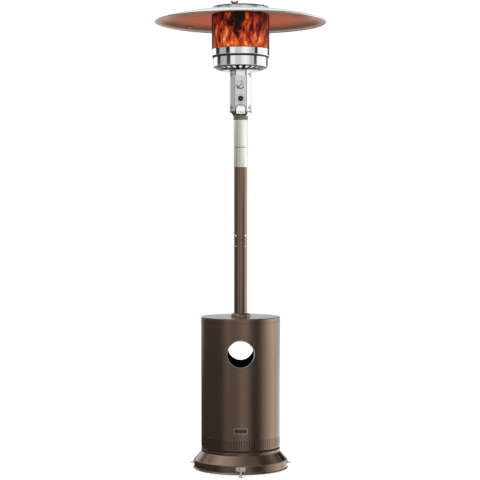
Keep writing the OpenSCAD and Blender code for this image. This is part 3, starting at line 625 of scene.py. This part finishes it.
def make_nameplate():
    """A blank plate, dark with a thin bright border, wrapped on the wall, and a rivet to its left."""
    low, high = span("nameplate")
    z = (low.z + high.z) / 2
    half_w, half_h, corner = (high.x - low.x) / 2, (high.z - low.z) / 2, 4.0

    def plate(name, inset, lift, material):
        columns = 24
        loops = []
        for i in range(columns + 1):
            u = (-1 + 2 * i / columns) * (half_w - inset)
            past = max(0.0, abs(u) - (half_w - inset - corner))
            h = half_h - inset - corner + sqrt(max(0.0, corner ** 2 - past ** 2))
            a = u / WALL_R
            loops.append([((WALL_R + depth) * sin(a), -(WALL_R + depth) * cos(a), z + dz)
                          for depth, dz in ((lift, -h), (lift, h), (lift - 0.8, h), (lift - 0.8, -h))])
        return add_object(name, *skin(loops, False), material, "tank_housing")

    border = plate("nameplate_border", 0.0, 0.9, EDGE_SILVER)
    plate("nameplate_face", 2.4, 1.2, GLOSS)
    stands_for(border, "plate_black", "nameplate")
    rivet = lathe("housing_rivet", [(0, 0), (3.2, 0), (2.6, 1.0), (1.2, 1.6), (0, 1.7)], BRONZE,
                  "tank_housing", 24)
    rivet.matrix_local = (Matrix.Rotation(radians(-50), 4, "Z")
                          @ Matrix.Translation(Vector((0, -WALL_R, low.z - 28)) * MM)
                          @ Matrix.Rotation(radians(90), 4, "X"))
    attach(rivet, "tank_housing")


make_housing()
make_lid()
make_trims()
make_nameplate()


# -------- post

POST_R = span("post_lower")[1].x
HEAD_R = span("head_tube_lower")[1].x


def make_tube(node, suffix, material, slot, r, z0, z1):
    """One tube of the post, with eased ends."""
    wall, edge = 1.5, 0.5
    profile = [(r - edge, z0), (r, z0 + edge), (r, z1 - edge), (r - edge, z1), (r - wall, z1), (r - wall, z0)]
    stands_for(lathe(node + suffix, profile, material, "stand", 128), slot, node)


def make_spigot(name, r, z0, z1, wall):
    """A tube that shows in the gap between two others."""
    return lathe(name, band(r, z0, z1, wall), BRONZE, "stand", 96)


def make_post():
    """Two painted tubes and two bright ones, with a spigot in each joint."""
    joint = span("post_lower")[1].z
    middle_low, middle_high = span("post_middle")
    bright_joint = span("head_tube_lower")[1].z
    make_tube("post_lower", "_tube", BRONZE, "bronze_paint", POST_R, span("post_lower")[0].z, joint - 0.4)
    make_tube("post_middle", "_tube", BRONZE, "bronze_paint", POST_R, joint + 1.0, middle_high.z)
    make_spigot("post_middle_spigot", POST_R - 1.6, middle_low.z, joint + 2, 1.7)
    make_tube("head_tube_lower", "_shell", POST_STEEL, "stainless", HEAD_R, middle_high.z + 0.3,
              bright_joint - 0.9)
    make_tube("head_tube_upper", "_shell", POST_STEEL, "stainless", HEAD_R, bright_joint + 1.4,
              span("head_tube_upper")[1].z)
    pair = [make_spigot("head_spigot_0", POST_R - 1.6, middle_high.z - 50, middle_high.z + 3, 2),
            make_spigot("head_spigot_1", HEAD_R - 1.6, bright_joint - 45, bright_joint + 3, 2)]
    join(pair, "head_tube_spigots")


make_post()


# -------- collar and burner shells

def make_collar():
    """A bright funnel under the box on a painted neck."""
    low, high = span("taper_collar")
    r, z0, z1 = high.x, low.z, high.z
    neck = z1 - 21
    funnel = [(HEAD_R + 0.1, neck), (HEAD_R + 1.6, neck), (HEAD_R + 2.0, neck + 1.2), (r - 1, z1 - 5),
              (r, z1 - 3), (r, z1), (r - 1.5, z1), (r - 1.5, z1 - 2.5), (HEAD_R + 0.1, neck + 3)]
    stands_for(lathe("collar_shell", funnel, BOX_STEEL, "stand", 128), "stainless", "taper_collar")
    sleeve = [(HEAD_R + 0.15, z0), (HEAD_R + 1.2, z0), (HEAD_R + 1.8, z0 + 0.8), (HEAD_R + 1.8, neck - 1.6),
              (HEAD_R + 1.0, neck - 0.6), (HEAD_R + 0.15, neck - 0.6)]
    lathe("collar_sleeve", sleeve, BRONZE, "stand", 96)


def make_cone():
    """The short cone under the rings: a slotted web in near-black steel as painted shade, on a polished
    plate, over a pale cone that paints the light seen through the slots.
    """
    low, high = span("vent_cone")
    z0, z1, top_r, bottom_r = low.z, high.z, high.x, 88.0
    slots = 24
    length = hypot(top_r - bottom_r, z1 - z0 - 2)

    def place(u, v):
        a = (u - 0.5) * 2 * pi / slots + FRONT
        t = v / length
        r = bottom_r + 1.5 + (top_r - bottom_r - 1.5) * t
        return (r * cos(a), r * sin(a), z0 + 2 + (z1 - z0 - 2) * t)

    cone = perforated("cone_slots", slots, 1, 1.0, length, 0.27, length * 0.37, place, CONE_STEEL, "stand",
                      SHEET, stagger=False)
    apply_modifiers(cone)
    shade(cone.data, 30)
    stands_for(cone, "stainless", "vent_cone")
    plate = [(50, z0), (bottom_r, z0)] + arc(bottom_r, z0 + 1.6, 1.6, -90, 40, 5)
    plate += [(bottom_r, z0 + 2), (50, z0 + 2)]
    lathe("cone_plate", plate, RING_STEEL, "stand", 128)
    slot_light = [(bottom_r - 4, z0 + 5), (top_r - 9, z1 - 1), (top_r - 10.5, z1 - 1), (bottom_r - 5.5, z0 + 5)]
    lathe("cone_slot_light", slot_light, CERAMIC, "stand", 96)


def make_rings():
    """The polished lower and upper rings, with a black ring in the gap between them as painted shade."""
    low, high = span("lower_shroud")
    r, z0, z1 = high.x, low.z, high.z
    lower = [(r - 5, z0), (r - 1.6, z0)] + arc(r - 1.6, z0 + 1.6, 1.6, -90, 0, 4)
    lower += arc(r - 1.6, z1 - 1.6, 1.6, 0, 90, 4)
    lower += [(r - 7, z1), (r - 7, z1 - 1.2), (r - 2.4, z1 - 1.4), (r - 1.2, z1 - 3), (r - 1.2, z0 + 3),
              (r - 5, z0 + 1.3)]
    stands_for(lathe("lower_ring", lower, RING_STEEL, "stand", 256), "stainless", "lower_shroud")
    gap = z1
    high = span("upper_shroud")[1]
    r, z0, z1 = high.x, gap + 3.8, high.z
    shade_piece = [(r - 10, gap - 2.5), (r - 4.5, gap - 2.5), (r - 3.2, gap - 1.5), (r - 3.2, gap + 4.0),
            (r - 10, gap + 4.0)]
    lathe("shroud_gap_shade", shade_piece, SHADOW_BLACK, "stand")
    upper = [(r - 14, z0), (r - 4, z0)] + arc(r - 3, z0 + 3, 3, -90, 0, 5)
    upper += arc(r - 1.8, z1 - 1.8, 1.8, 0, 90, 4)
    upper += [(62, z1), (62, z1 - 1.6), (r - 3, z1 - 1.6), (r - 1.3, z1 - 3), (r - 1.3, z0 + 5),
              (r - 4, z0 + 1.4), (r - 14, z0 + 1.4)]
    stands_for(lathe("upper_ring", upper, RING_STEEL, "stand", 256), "stainless", "upper_shroud")


make_collar()
make_cone()
make_rings()


# -------- emitter screen and fire

def make_screen():
    """The fine mesh of the screen with the flames just behind it."""
    r, z0, z1 = screen_high.x, screen_low.z, screen_high.z
    columns = 128
    pitch_u = 2 * pi * r / columns
    rows = int((z1 - z0) / pitch_u)
    pitch_v = (z1 - z0) / rows
    mesh = perforated("screen_mesh", columns, rows, pitch_u, pitch_v, pitch_u * 0.42, pitch_v * 0.42,
                      round_wall(r, z0), SCREEN_STEEL, "stand", 0.8, corners=8)
    apply_modifiers(mesh)
    stands_for(mesh, "screen", "emitter_screen")
    lathe("flame_curtain", band(r - 6, z0 + 1, z1 - 1, 1), FLAMES, "stand", 128)


make_screen()


# -------- reflector

def make_reflector():
    """The dish: three panels with a copper underside, a grey top and a rolled rim."""
    rim_z, rim_r, flat_r, centre_r = 2111.0, 404.0, 372.0, 60
    steps = 14

    def height(r):
        return rim_z + 12 + 48 * (1 - (r / flat_r) ** 2)

    radii = [centre_r + (flat_r - centre_r) * i / steps for i in range(steps + 1)]
    profile = [(r, height(r)) for r in radii]
    profile += [(flat_r + 1.0, height(flat_r) - 0.3), (rim_r - 5.2, rim_z + 2.2)]
    profile += arc(rim_r - 1.9, rim_z + 0.9, 3.1, -160, 110, 10)
    profile += [(rim_r - 4, rim_z + 4.6), (flat_r + 1.2, height(flat_r) + 0.9)]
    profile += [(r, height(r) + SHEET) for r in reversed(radii)]
    for i, start in enumerate((-47, 73, 193)):
        panel = lathe(f"dish_panel_{i + 1}", profile, [UNDERSIDE, DISH_TOP, RIM_STEEL], "stand", 84,
                      start + 0.08, 119.84)
        sort_faces(panel, lambda away, normal: 2 if away > rim_r - 4.6 else 1 if normal.z > 0.02 else 0)
        stands_for(panel, "reflector_sheet", f"reflector_panel_{i + 1}")


def make_cap():
    """The raised cap: a flat top with a rolled edge in near-black steel, a painted dark reflection, over a
    grey skirt.
    """
    low, high = span("top_cap")
    r, z0, z1 = high.x, low.z, high.z
    fold = z1 - 5.5
    top = [(0, z1 - 0.4), (r - 6, z1 - 0.4), (r - 6, z1 - 2.2), (0, z1 - 2.2)]
    lathe("cap_top", top, DISH_TOP, "stand")
    edge = [(r - 7, z1 - 0.6), (r - 5, z1)] + arc(r - 3.4, z1 - 2, 2, 90, 0, 5)
    edge += [(r - 1.2, fold), (r - 2.8, fold), (r - 3, z1 - 2.4), (r - 7, z1 - 2)]
    lathe("cap_edge", edge, CAP_EDGE, "stand")
    skirt = [(r - 1.4, fold - 0.2), (r - 0.6, fold - 1.4), (r, z0 + 0.8), (r - 0.4, z0), (r - 1.6, z0),
             (r - 2.8, fold - 0.2)]
    stands_for(lathe("cap_skirt", skirt, DISH_TOP, "stand"), "reflector_sheet", "top_cap")


make_reflector()
make_cap()


# -------- control box

box_low, box_high = span("control_box")
BOX_Z, BOX_TOP, BOX_HALF = box_low.z, box_high.z, box_high.x
PANEL_Y = span("front_panel")[0].y
PANEL_HALF = span("front_panel")[1].x


def make_control_box():
    """A folded octagonal box, open at its front, where the panel sits with narrow dark gaps."""
    h, c, t = BOX_HALF, 26.5, SHEET
    corners = [(c + 2.2, 2.2 - h), (h, -c), (h, c), (c, h), (-c, h), (-h, c), (-h, -c), (-c - 0.8, 0.8 - h)]
    outer = corner_line(corners, [0, 26, 10, 4, 4, 10, 26, 0])
    corners = [(c + 1.6, 2.4 + t - h), (h - t, 0.4 - c), (h - t, c - 0.4), (c - 0.4, h - t), (0.4 - c, h - t),
               (t - h, c - 0.4), (t - h, 0.4 - c), (-c - 0.6, 1.2 + t - h)]
    inner = corner_line(corners, [0, 25, 9, 3, 3, 9, 25, 0])
    points = [(x, y, z) for z in (BOX_Z, BOX_TOP - 0.2) for x, y in outer + inner]
    n = len(outer)
    m = 2 * n
    faces = [(0, m, m + n, n), (n - 1, m - 1, 2 * m - 1, m + n - 1)]
    for k in range(n - 1):
        faces += [(k, k + 1, m + k + 1, m + k), (n + k + 1, n + k, m + n + k, m + n + k + 1),
                  (k + 1, k, n + k, n + k + 1), (m + k, m + k + 1, m + n + k + 1, m + n + k)]
    shell = add_object("control_box_shell", points, faces, BOX_STEEL, "stand", 28)
    stands_for(shell, "stainless", "control_box")
    corners = [(c, -h), (h, -c), (h, c), (c, h), (-c, h), (-h, c), (-h, -c), (-c, -h)]
    outline = corner_line([(x * 0.99, y * 0.99) for x, y in corners], [2, 26, 10, 4, 4, 10, 26, 2])
    # The box's floor is black as painted shade under the box.
    floor = layered("control_box_floor", [(outline, BOX_Z - 2.2), (outline, BOX_Z + 1.0)],
                    lambda u, v, d: (u, v, d), SHADOW_BLACK, "stand")


def on_panel(u, v, depth):
    """A point in front of the panel's face."""
    return (u, PANEL_Y - depth, v)


def make_panel():
    """The front panel with a raised ring round the igniter and a red mark beside the knob."""
    def frame_line(inset):
        half = PANEL_HALF - inset
        return rounded_box(-half, half, BOX_Z + 1.6 + inset, BOX_TOP - 1.0 - inset, 2.0)

    layers = [(frame_line(0), -SHEET), (frame_line(0), -0.5), (frame_line(0.5), 0)]
    panel = layered("front_panel_sheet", layers, on_panel, BOX_STEEL, "stand", 30)
    stands_for(panel, "stainless", "front_panel")
    ring = [(20.6, 0.1), (20.9, -0.5), (21.8, -0.8), (22.7, -0.5), (23.0, 0.1)]
    ring = lathe_level("igniter_ring", ring, BOX_STEEL, "stand", (0, PANEL_Y, centre_z("igniter_button")), 72)
    knob_z = centre_z("control_knob")
    count = 24
    loops = []
    for i in range(count + 1):
        a = radians(182 + 66 * i / count)
        loops.append([(r * cos(a), PANEL_Y + y, knob_z + r * sin(a))
                      for r, y in ((20.4, 0.05), (20.4, -0.35), (23.4, -0.35), (23.4, 0.05))])
    add_object("knob_red_mark", *skin(loops, False), RED, "stand")


hood_low, hood_high = span("vent_hood")
HOOD_HALF = hood_high.x - 3.5
VENT_XS, VENT_Z = (-11, 0, 11), hood_low.z + 10


def make_hood():
    """The small vent cover at the box's foot, on a black backing that paints the shadow round it, with three
    holes.
    """
    z0, z1 = hood_low.z + 2, hood_high.z - 3

    def line(inset):
        half = HOOD_HALF - inset
        return rounded_box(-half, half, z0 + inset, z1 - inset, (6 - inset * 0.5, 13 - inset))

    steps = ((0, 0.2), (0, 4.0), (0.5, 5.4), (1.6, 6.6), (3.2, 7.3), (5.0, 7.6), (6.0, 7.6))
    hood = layered("vent_hood_cover", [(line(inset), depth) for inset, depth in steps], on_panel, NICKEL,
                   "stand", 40)
    drills = [rod_mesh(2.7, PANEL_Y - 20, PANEL_Y - 2, VENT_Z, 20, x) for x in VENT_XS]
    drills = [add_object(f"drill_{i}", *drill, BOX_STEEL, "stand") for i, drill in enumerate(drills)]
    cut(hood, join(drills, "drills"))
    shade(hood.data, 30)
    stands_for(hood, "stainless", "vent_hood")
    shade_piece = layered("vent_hood_shadow", [(line(-3.3), -0.2), (line(-3.3), 1.6), (line(-2.5), 2.2)], on_panel,
                   SHADOW_BLACK, "stand")


def make_top_tab():
    """The bright tab at the panel's top, with a black strip that shows at its sides as painted shadow."""
    def line(inset):
        half = HOOD_HALF - inset
        return rounded_box(-half, half, BOX_TOP - 24 + inset, BOX_TOP - 0.6 - inset * 0.3, (5 - inset, 0.8))

    steps = ((0, 0.1), (0, 2.6), (0.6, 3.6), (1.8, 4.2), (2.8, 4.2))
    tab = layered("panel_top_tab", [(line(inset), depth) for inset, depth in steps], on_panel, NICKEL,
                  "stand", 40)
    side = rounded_box(-HOOD_HALF - 3, HOOD_HALF + 3, BOX_TOP - 22, BOX_TOP - 10, 2)
    shade_piece = layered("panel_top_shadow", [(side, -0.2), (side, 1.4)], on_panel, SHADOW_BLACK, "stand")


def make_seams():
    """Short black rods at the ends of the box's front corners, painted shade for the gaps there."""
    seam_x, seam_y, seam_h = 46.8, -35.5, 30
    outline = arc(0, 0, 0.9, 0, 300, 5)
    seams = []
    for x in (-seam_x, seam_x):
        for z in (BOX_Z + 1, BOX_TOP - 32):
            seams.append(layered(f"box_gap_shade_{len(seams)}", [(outline, z), (outline, z + seam_h)],
                                 lambda u, v, d: (x + u, seam_y + v, d), SHADOW_BLACK, "stand"))
    join(seams, "box_gap_shades")


def make_vent_backs():
    """Black behind the vent cover's holes, as painted shade."""
    profile = [(0, 0), (2.6, 0), (2.6, -3.2), (0, -3.2)]
    backs = [lathe_level(f"vent_back_{i}", profile, SHADOW_BLACK, "stand", (x, PANEL_Y - 2.2, VENT_Z), 20)
             for i, x in enumerate(VENT_XS)]
    join(backs, "vent_hood_dark")


def make_knob():
    """A dial with a raised grip across it, turned to the ignition mark."""
    high = span("control_knob")[1]
    r, back = high.x, high.y
    z = centre_z("control_knob")
    profile = [(0, 0), (r - 1.5, 0), (r, -1.2), (r, -4.5), (r - 0.4, -6.2), (r - 1.6, -7.4), (r - 3.2, -7.8),
               (r - 4.2, -7.0), (0, -6.8)]
    dial = lathe_level("knob_dial", profile, CHROME, "knob", (0, back, z), 96)
    along, across = sin(radians(-45)), cos(radians(-45))

    def place(u, v, depth):
        return (u * across - v * along, back - depth, z + u * along + v * across)

    def line(inset):
        return rounded_box(-4.2 + inset, 4.2 - inset, -r + 2.5 + inset, r - 2.5 - inset, 3.6 - inset)

    layers = [(line(0), 6), (line(0), 15), (line(0.6), 17), (line(1.8), 18)]
    grip = layered("knob_grip", layers, place, CHROME, "knob", 40)
    # A dark plate just wider than the grip, at its foot on the dial: painted shadow round the grip.
    grip_shadow = layered("knob_grip_shadow", [(line(-0.9), 6.6), (line(-0.9), 7.6)], place, DARK_STEEL, "knob")
    stands_for(join([dial, grip, grip_shadow], "knob_body"), "chrome_trim", "control_knob")


def make_igniter():
    """A glossy domed button on a stem that slides in the igniter's body."""
    low, high = span("igniter_button")
    r, front = high.x, low.y
    cap_depth, stem_r, stem_end = 6.5, 4.9, PANEL_Y + 26.7 - front
    cap = [(0, 0.4), (r * 0.45, 0.1), (r * 0.72, 0.0), (r - 1.4, 0.4), (r - 0.3, 1.4), (r, 2.8),
           (r, cap_depth), (stem_r, cap_depth), (stem_r, stem_end), (0, stem_end)]
    button = lathe_level("igniter_cap", cap, GLOSS, "igniter_button", (0, front, centre_z("igniter_button")))
    stands_for(button, "black_plastic", "igniter_button")


make_control_box()
make_panel()
make_hood()
make_top_tab()
make_seams()
make_vent_backs()
make_knob()
make_igniter()


# -------- small parts

def make_wing_nuts():
    """A hub with two raised round wings on each stud."""
    low, high = span("wing_nuts")
    height = high.z - low.z - 2
    stud_ring_r, z = 97, low.z + 2
    hub = [(4.1, -2), (11, -2), (11, 0), (7.2, 0), (6.4, 7), (5.4, 8), (4.1, 8)]
    lobe = [(4, 1), (8, 1), (12, 4)] + arc(12.6, height - 4.6, 4.6, -60, 150, 8) + [(5.6, 7.6), (4, 7)]
    made = []
    for i, a in enumerate((253, 13, 133)):
        x, y = stud_ring_r * cos(radians(a)), stud_ring_r * sin(radians(a))
        made.append(lathe(f"nut_hub_{i}", hub, DARK_STEEL, "stand", 32, centre=(x, y, z)))
        for side in (-1, 1):
            line = [(side * u, v) for u, v in lobe]
            wing = layered(f"nut_wing_{i}_{side + 1}", [(line, -2.2), (line, 2.2)],
                           lambda u, v, d: (x + u, y + d, z + v), DARK_STEEL, "stand")
            bevel(wing, 0.8)
            apply_modifiers(wing)
            made.append(wing)
    stands_for(join(made, "wing_nut_set"), "zinc", "wing_nuts")


def make_feet():
    """Levelling feet: a threaded rod on a flared pad."""
    rod_r, root_r, pitch = 5.5, 4.8, 1.5
    for name in ("front", "rear"):
        low, high = span(f"levelling_foot_{name}")
        top = high.z
        line = [(0, 0), (9.6, 0), (10.5, 0.8), (10.5, 2.2), (9.6, 3.2), (7.4, 6.4), (6.4, 9), (rod_r, 10)]
        z = 11.0
        while z < top - 2:
            line += [(rod_r, z), (root_r, z + 0.7), (rod_r, z + 1.4)]
            z += pitch
        line += [(4.6, top), (0, top)]
        centre = (0, (low.y + high.y) / 2, 0)
        foot = lathe(f"foot_screw_{name}", line, ZINC, f"foot_{name}", 40, centre=centre)
        stands_for(foot, "zinc", f"levelling_foot_{name}")


def make_wheels():
    """Small rear wheels: a grooved tyre on a spoked plastic hub."""
    bore_r, spokes = 5.05, 6
    for name in ("left", "right"):
        low, high = span(f"wheel_{name}")
        x, y, z = (low + high) / 2
        half, r = (high.x - low.x) / 2, (high.z - low.z) / 2
        body = f"wheel_{name}"
        tread = []
        for groove in (4, 0, -4):
            tread += [(r, groove + 1.2), (r - 1.6, groove + 0.7), (r - 1.6, groove - 0.7), (r, groove - 1.2)]
        shoulder = [(r - 7, half - 1), (r - 3, half - 1), (r - 0.8, half - 2.4), (r, half - 4)]
        tyre = shoulder + tread + mirror(shoulder)
        hub = [(bore_r, half), (10, half), (11, half - 1), (12, half - 6), (r - 9, half - 6),
               (r - 7.2, half - 2), (r - 6.8, half - 2)]
        hub += mirror(hub)
        tyre = lathe_level(f"wheel_tyre_{name}", tyre, RUBBER, body, (x, y, z), along_x=True)
        hub_parts = [lathe_level(f"wheel_hub_{name}", hub, PLASTIC, body, (x, y, z), along_x=True)]
        for i in range(spokes):
            a = 2 * pi * i / spokes
            line = [(q * cos(a) - w * sin(a), q * sin(a) + w * cos(a))
                    for q, w in ((10.5, -1.6), (r - 7.5, -1.6), (r - 7.5, 1.6), (10.5, 1.6))]
            hub_parts.append(layered(f"wheel_rib_{name}_{i}", [(line, 2.2 - half), (line, half - 2.2)],
                                     lambda u, v, d: (x + d, y + u, z + v), PLASTIC, body))
        join(hub_parts, f"wheel_hub_{name}")
        stands_for(tyre, "wheel_rubber", f"wheel_{name}")


make_wing_nuts()
make_feet()
make_wheels()


# -------- carried-over nodes

dress(PLASTIC, "water_reservoir", "reservoir_cap", "igniter_body", "tilt_switch_case")
dress(ZINC, "levelling_brackets", "base_fasteners", "wheel_axle", "gas_feed_tube", "valve_spindle")
dress(ZINC, "seam_screws")
dress(CHROME, "rim_clips")
# The leg bolts and support legs inside the housing are dark steel as painted shade.
dress(DARK_STEEL, "box_screws", "leg_bolts", "support_legs", "post_bracket")
dress(NICKEL, "post_screws")
dress(BRONZE, "wheel_bracket")
dress(RUBBER, "floor_glides")
dress(INNER_STEEL, "main_burner", "venturi_tube", "screen_cap", "valve_plug", "thermocouple")
dress(INNER_STEEL, "reflector_studs")
dress(BRASS, "gas_inlet_fitting", "gas_valve", "main_gas_tube", "pilot_burner", "tilt_pendulum")
dress(CERAMIC, "ignition_electrode")


# -------- studio, floor, camera, lights

# Brightness by the compass angle in degrees, 0 towards the camera and 90 to the right. Each wall is what one
# part of the heater mirrors, and takes up its own band of heights.
RINGS = ((-180, 0.6), (-160, 0.6), (-152, 1.1), (-118, 1.1), (-114, 0.02), (-95, 0.02), (-92, 0.46),
         (-61, 0.46), (-59, 0.02), (-45, 0.02), (-42, 0.84), (-36, 0.90), (-27, 0.96), (-20, 0.66),
         (-15, 0.60), (0, 0.66), (10, 0.92), (22, 1.0), (35, 0.80), (46, 0.50), (54, 0.55), (57, 0.60),
         (59, 0.02), (71, 0.02), (73, 0.95), (120, 1.15), (137, 1.15), (139, 0.02), (157, 0.02), (162, 0.6),
         (180, 0.6))
BOX = ((-180, 0.6), (-165, 0.7), (-150, 1.2), (-99, 1.2), (-94, 0.62), (-59, 0.60), (-45, 0.62),
       (-20, 0.74), (0, 0.80), (20, 0.85), (40, 0.90), (90, 0.98), (130, 1.1), (180, 0.6))
LOWER = ((-180, 0.45), (-170, 0.4), (-160, 0.6), (-150, 0.85), (-137, 0.62), (-124, 0.16), (-111, 0.09),
         (-60, 0.09), (-52, 0.17), (-37, 0.32), (-19, 0.27), (-7, 0.36), (7, 0.52), (20, 0.40), (31, 0.16),
         (38, 0.09), (50, 0.09), (58, 0.21), (66, 0.43), (74, 0.68), (88, 1.08), (108, 1.6), (116, 1.55),
         (127, 1.1), (136, 0.6), (146, 0.3), (152, 0.12), (168, 0.12), (180, 0.45))
POST = ((-180, 0.5), (-150, 0.5), (-120, 0.22), (-90, 0.19), (-60, 0.26), (-45, 0.55), (-37, 0.66),
        (-24, 0.48), (-12, 0.50), (0, 0.64), (15, 0.90), (24, 0.60), (34, 0.38), (44, 0.22), (56, 0.20),
        (66, 0.5), (78, 1.0), (92, 1.7), (108, 2.0), (128, 1.6), (150, 0.6), (180, 0.5))
SILVER = ((-180, 0.6), (-130, 0.6), (-94, 0.52), (-80, 0.38), (-66, 0.38), (-50, 0.48), (-35, 0.53),
          (-20, 0.50), (0, 0.64), (16, 0.80), (32, 1.0), (50, 1.35), (68, 1.35), (116, 1.15), (150, 0.8),
          (180, 0.6))
# Brightness by how far east a direction points, from -1 to 1.
SKY = ((-0.74, 0.62), (-0.60, 1.34), (-0.45, 1.15), (-0.20, 0.88), (0.0, 0.54), (0.23, 0.31), (0.45, 0.33),
       (0.56, 0.12))
REAR_FLOOR = ((-0.5, 0.06), (-0.28, 0.25), (-0.14, 0.85), (0.14, 0.85), (0.4, 1.2))
REAR_GLOW = ((-0.6, 0.35), (-0.35, 0.6), (-0.2, 1.3), (0.1, 1.3), (0.2, 0.9), (0.35, 0.45), (0.6, 0.15))
FRONT_FLOOR = ((-1, 0.05), (1, 0.05))


def make_studio():
    """A white studio whose soft boxes and dark gaps lie all round, as polished metal shows them."""
    scene = bpy.context.scene
    scene.view_settings.view_transform = "Standard"
    world = bpy.data.worlds.new("studio")
    scene.world = world
    world.use_nodes = True
    tree = world.node_tree
    tree.nodes.clear()
    place = add_node(tree, "TexCoord")
    split = add_node(tree, "SeparateXYZ", {"Vector": place.outputs["Generated"]})
    east, north, height = split.outputs["X"], split.outputs["Y"], split.outputs["Z"]
    turn = math_node(tree, "ARCTAN2", east, math_node(tree, "MULTIPLY", north, -1))
    around = rescale(tree, turn, 0, 1, -pi, pi)
    eastward = rescale(tree, east, 0, 1, -1, 1)

    def fade(value, start, end):
        return rescale(tree, value, 0, 1, start, end)

    def walls(stops, tint=(1, 1, 1)):
        return ramp(tree, around, [((a + 180) / 360, tuple(v * t for t in tint)) for a, v in stops])

    def across(stops):
        return ramp(tree, eastward, [((x + 1) / 2, (v, v, v)) for x, v in stops])

    light = mix(tree, fade(height, -0.080, -0.064), walls(LOWER), walls(POST))
    light = mix(tree, fade(height, 0.030, 0.036), light, walls(SILVER, (1.0, 0.98, 0.94)))
    light = mix(tree, fade(height, 0.068, 0.074), light, walls(BOX))
    light = mix(tree, fade(height, 0.1000, 0.1025), light, walls(RINGS))
    light = mix(tree, fade(height, 0.35, 0.75), light, across(SKY))
    light = mix(tree, fade(height, -0.20, -0.55), light, across(FRONT_FLOOR))
    behind = fade(north, 0.25, 0.55)
    low_behind = math_node(tree, "MULTIPLY", behind, fade(height, -0.02, -0.12))
    light = mix(tree, low_behind, light, across(REAR_FLOOR))
    glow = math_node(tree, "MULTIPLY", fade(height, 0.32, 0.40), fade(height, 0.62, 0.52))
    light = mix(tree, math_node(tree, "MULTIPLY", behind, glow), light, across(REAR_GLOW))
    studio = add_node(tree, "Background", {"Color": light})
    plain = add_node(tree, "Background", {"Color": (1, 1, 1, 1), "Strength": 1.05})
    path = add_node(tree, "LightPath")
    seen = add_node(tree, "MixShader", {"Fac": path.outputs["Is Camera Ray"], 1: studio.outputs["Background"],
                                        2: plain.outputs["Background"]})
    add_node(tree, "OutputWorld", {"Surface": seen.outputs["Shader"]})


def make_floor():
    """A plain pale floor."""
    mesh = bpy.data.meshes.new("floor")
    half = 9.0
    corners = [(-half, -half, 0), (half, -half, 0), (half, half, 0), (-half, half, 0)]
    mesh.from_pydata(corners, [], [(0, 1, 2, 3)])
    floor = bpy.data.objects.new("floor", mesh)
    bpy.context.scene.collection.objects.link(floor)
    material = bpy.data.materials.new("pale_floor")
    material.use_nodes = True
    shader = material.node_tree.nodes["Principled BSDF"]
    shader.inputs["Base Color"].default_value = (0.9, 0.9, 0.9, 1)
    shader.inputs["Roughness"].default_value = 0.9
    shader.inputs["Emission Color"].default_value = (1, 1, 1, 1)
    shader.inputs["Emission Strength"].default_value = 0.9
    mesh.materials.append(material)
    floor.visible_glossy = False


def make_camera():
    """Level with the middle of the post, looking slightly down, from well back."""
    camera = bpy.data.cameras.new("camera")
    camera.lens = 106.3
    camera.sensor_width = 36
    camera.shift_x = -0.00125
    camera.clip_end = 100
    holder = bpy.data.objects.new("camera", camera)
    holder.location = (0, -6.7, 1.2)
    holder.rotation_euler = (radians(90 - 0.975), 0, 0)
    bpy.context.scene.collection.objects.link(holder)
    bpy.context.scene.camera = holder


def make_lights():
    """Three soft lamps aimed at the heater's middle, hidden from mirror reflections."""
    lamps = (("key", (3.2, -3.6, 3.4), 1.6, 60), ("fill", (-3.4, -3.0, 2.6), 2.0, 22),
             ("top", (0, -0.5, 5.0), 2.5, 60))
    middle = Vector((0, 0, 1.1))
    for name, place, size, power in lamps:
        lamp = bpy.data.lights.new(name, "AREA")
        lamp.size = size
        lamp.energy = power
        holder = bpy.data.objects.new(name, lamp)
        holder.location = place
        holder.rotation_euler = (middle - Vector(place)).to_track_quat("-Z", "Y").to_euler()
        holder.visible_glossy = False
        bpy.context.scene.collection.objects.link(holder)


make_studio()
make_floor()
make_camera()
make_lights()
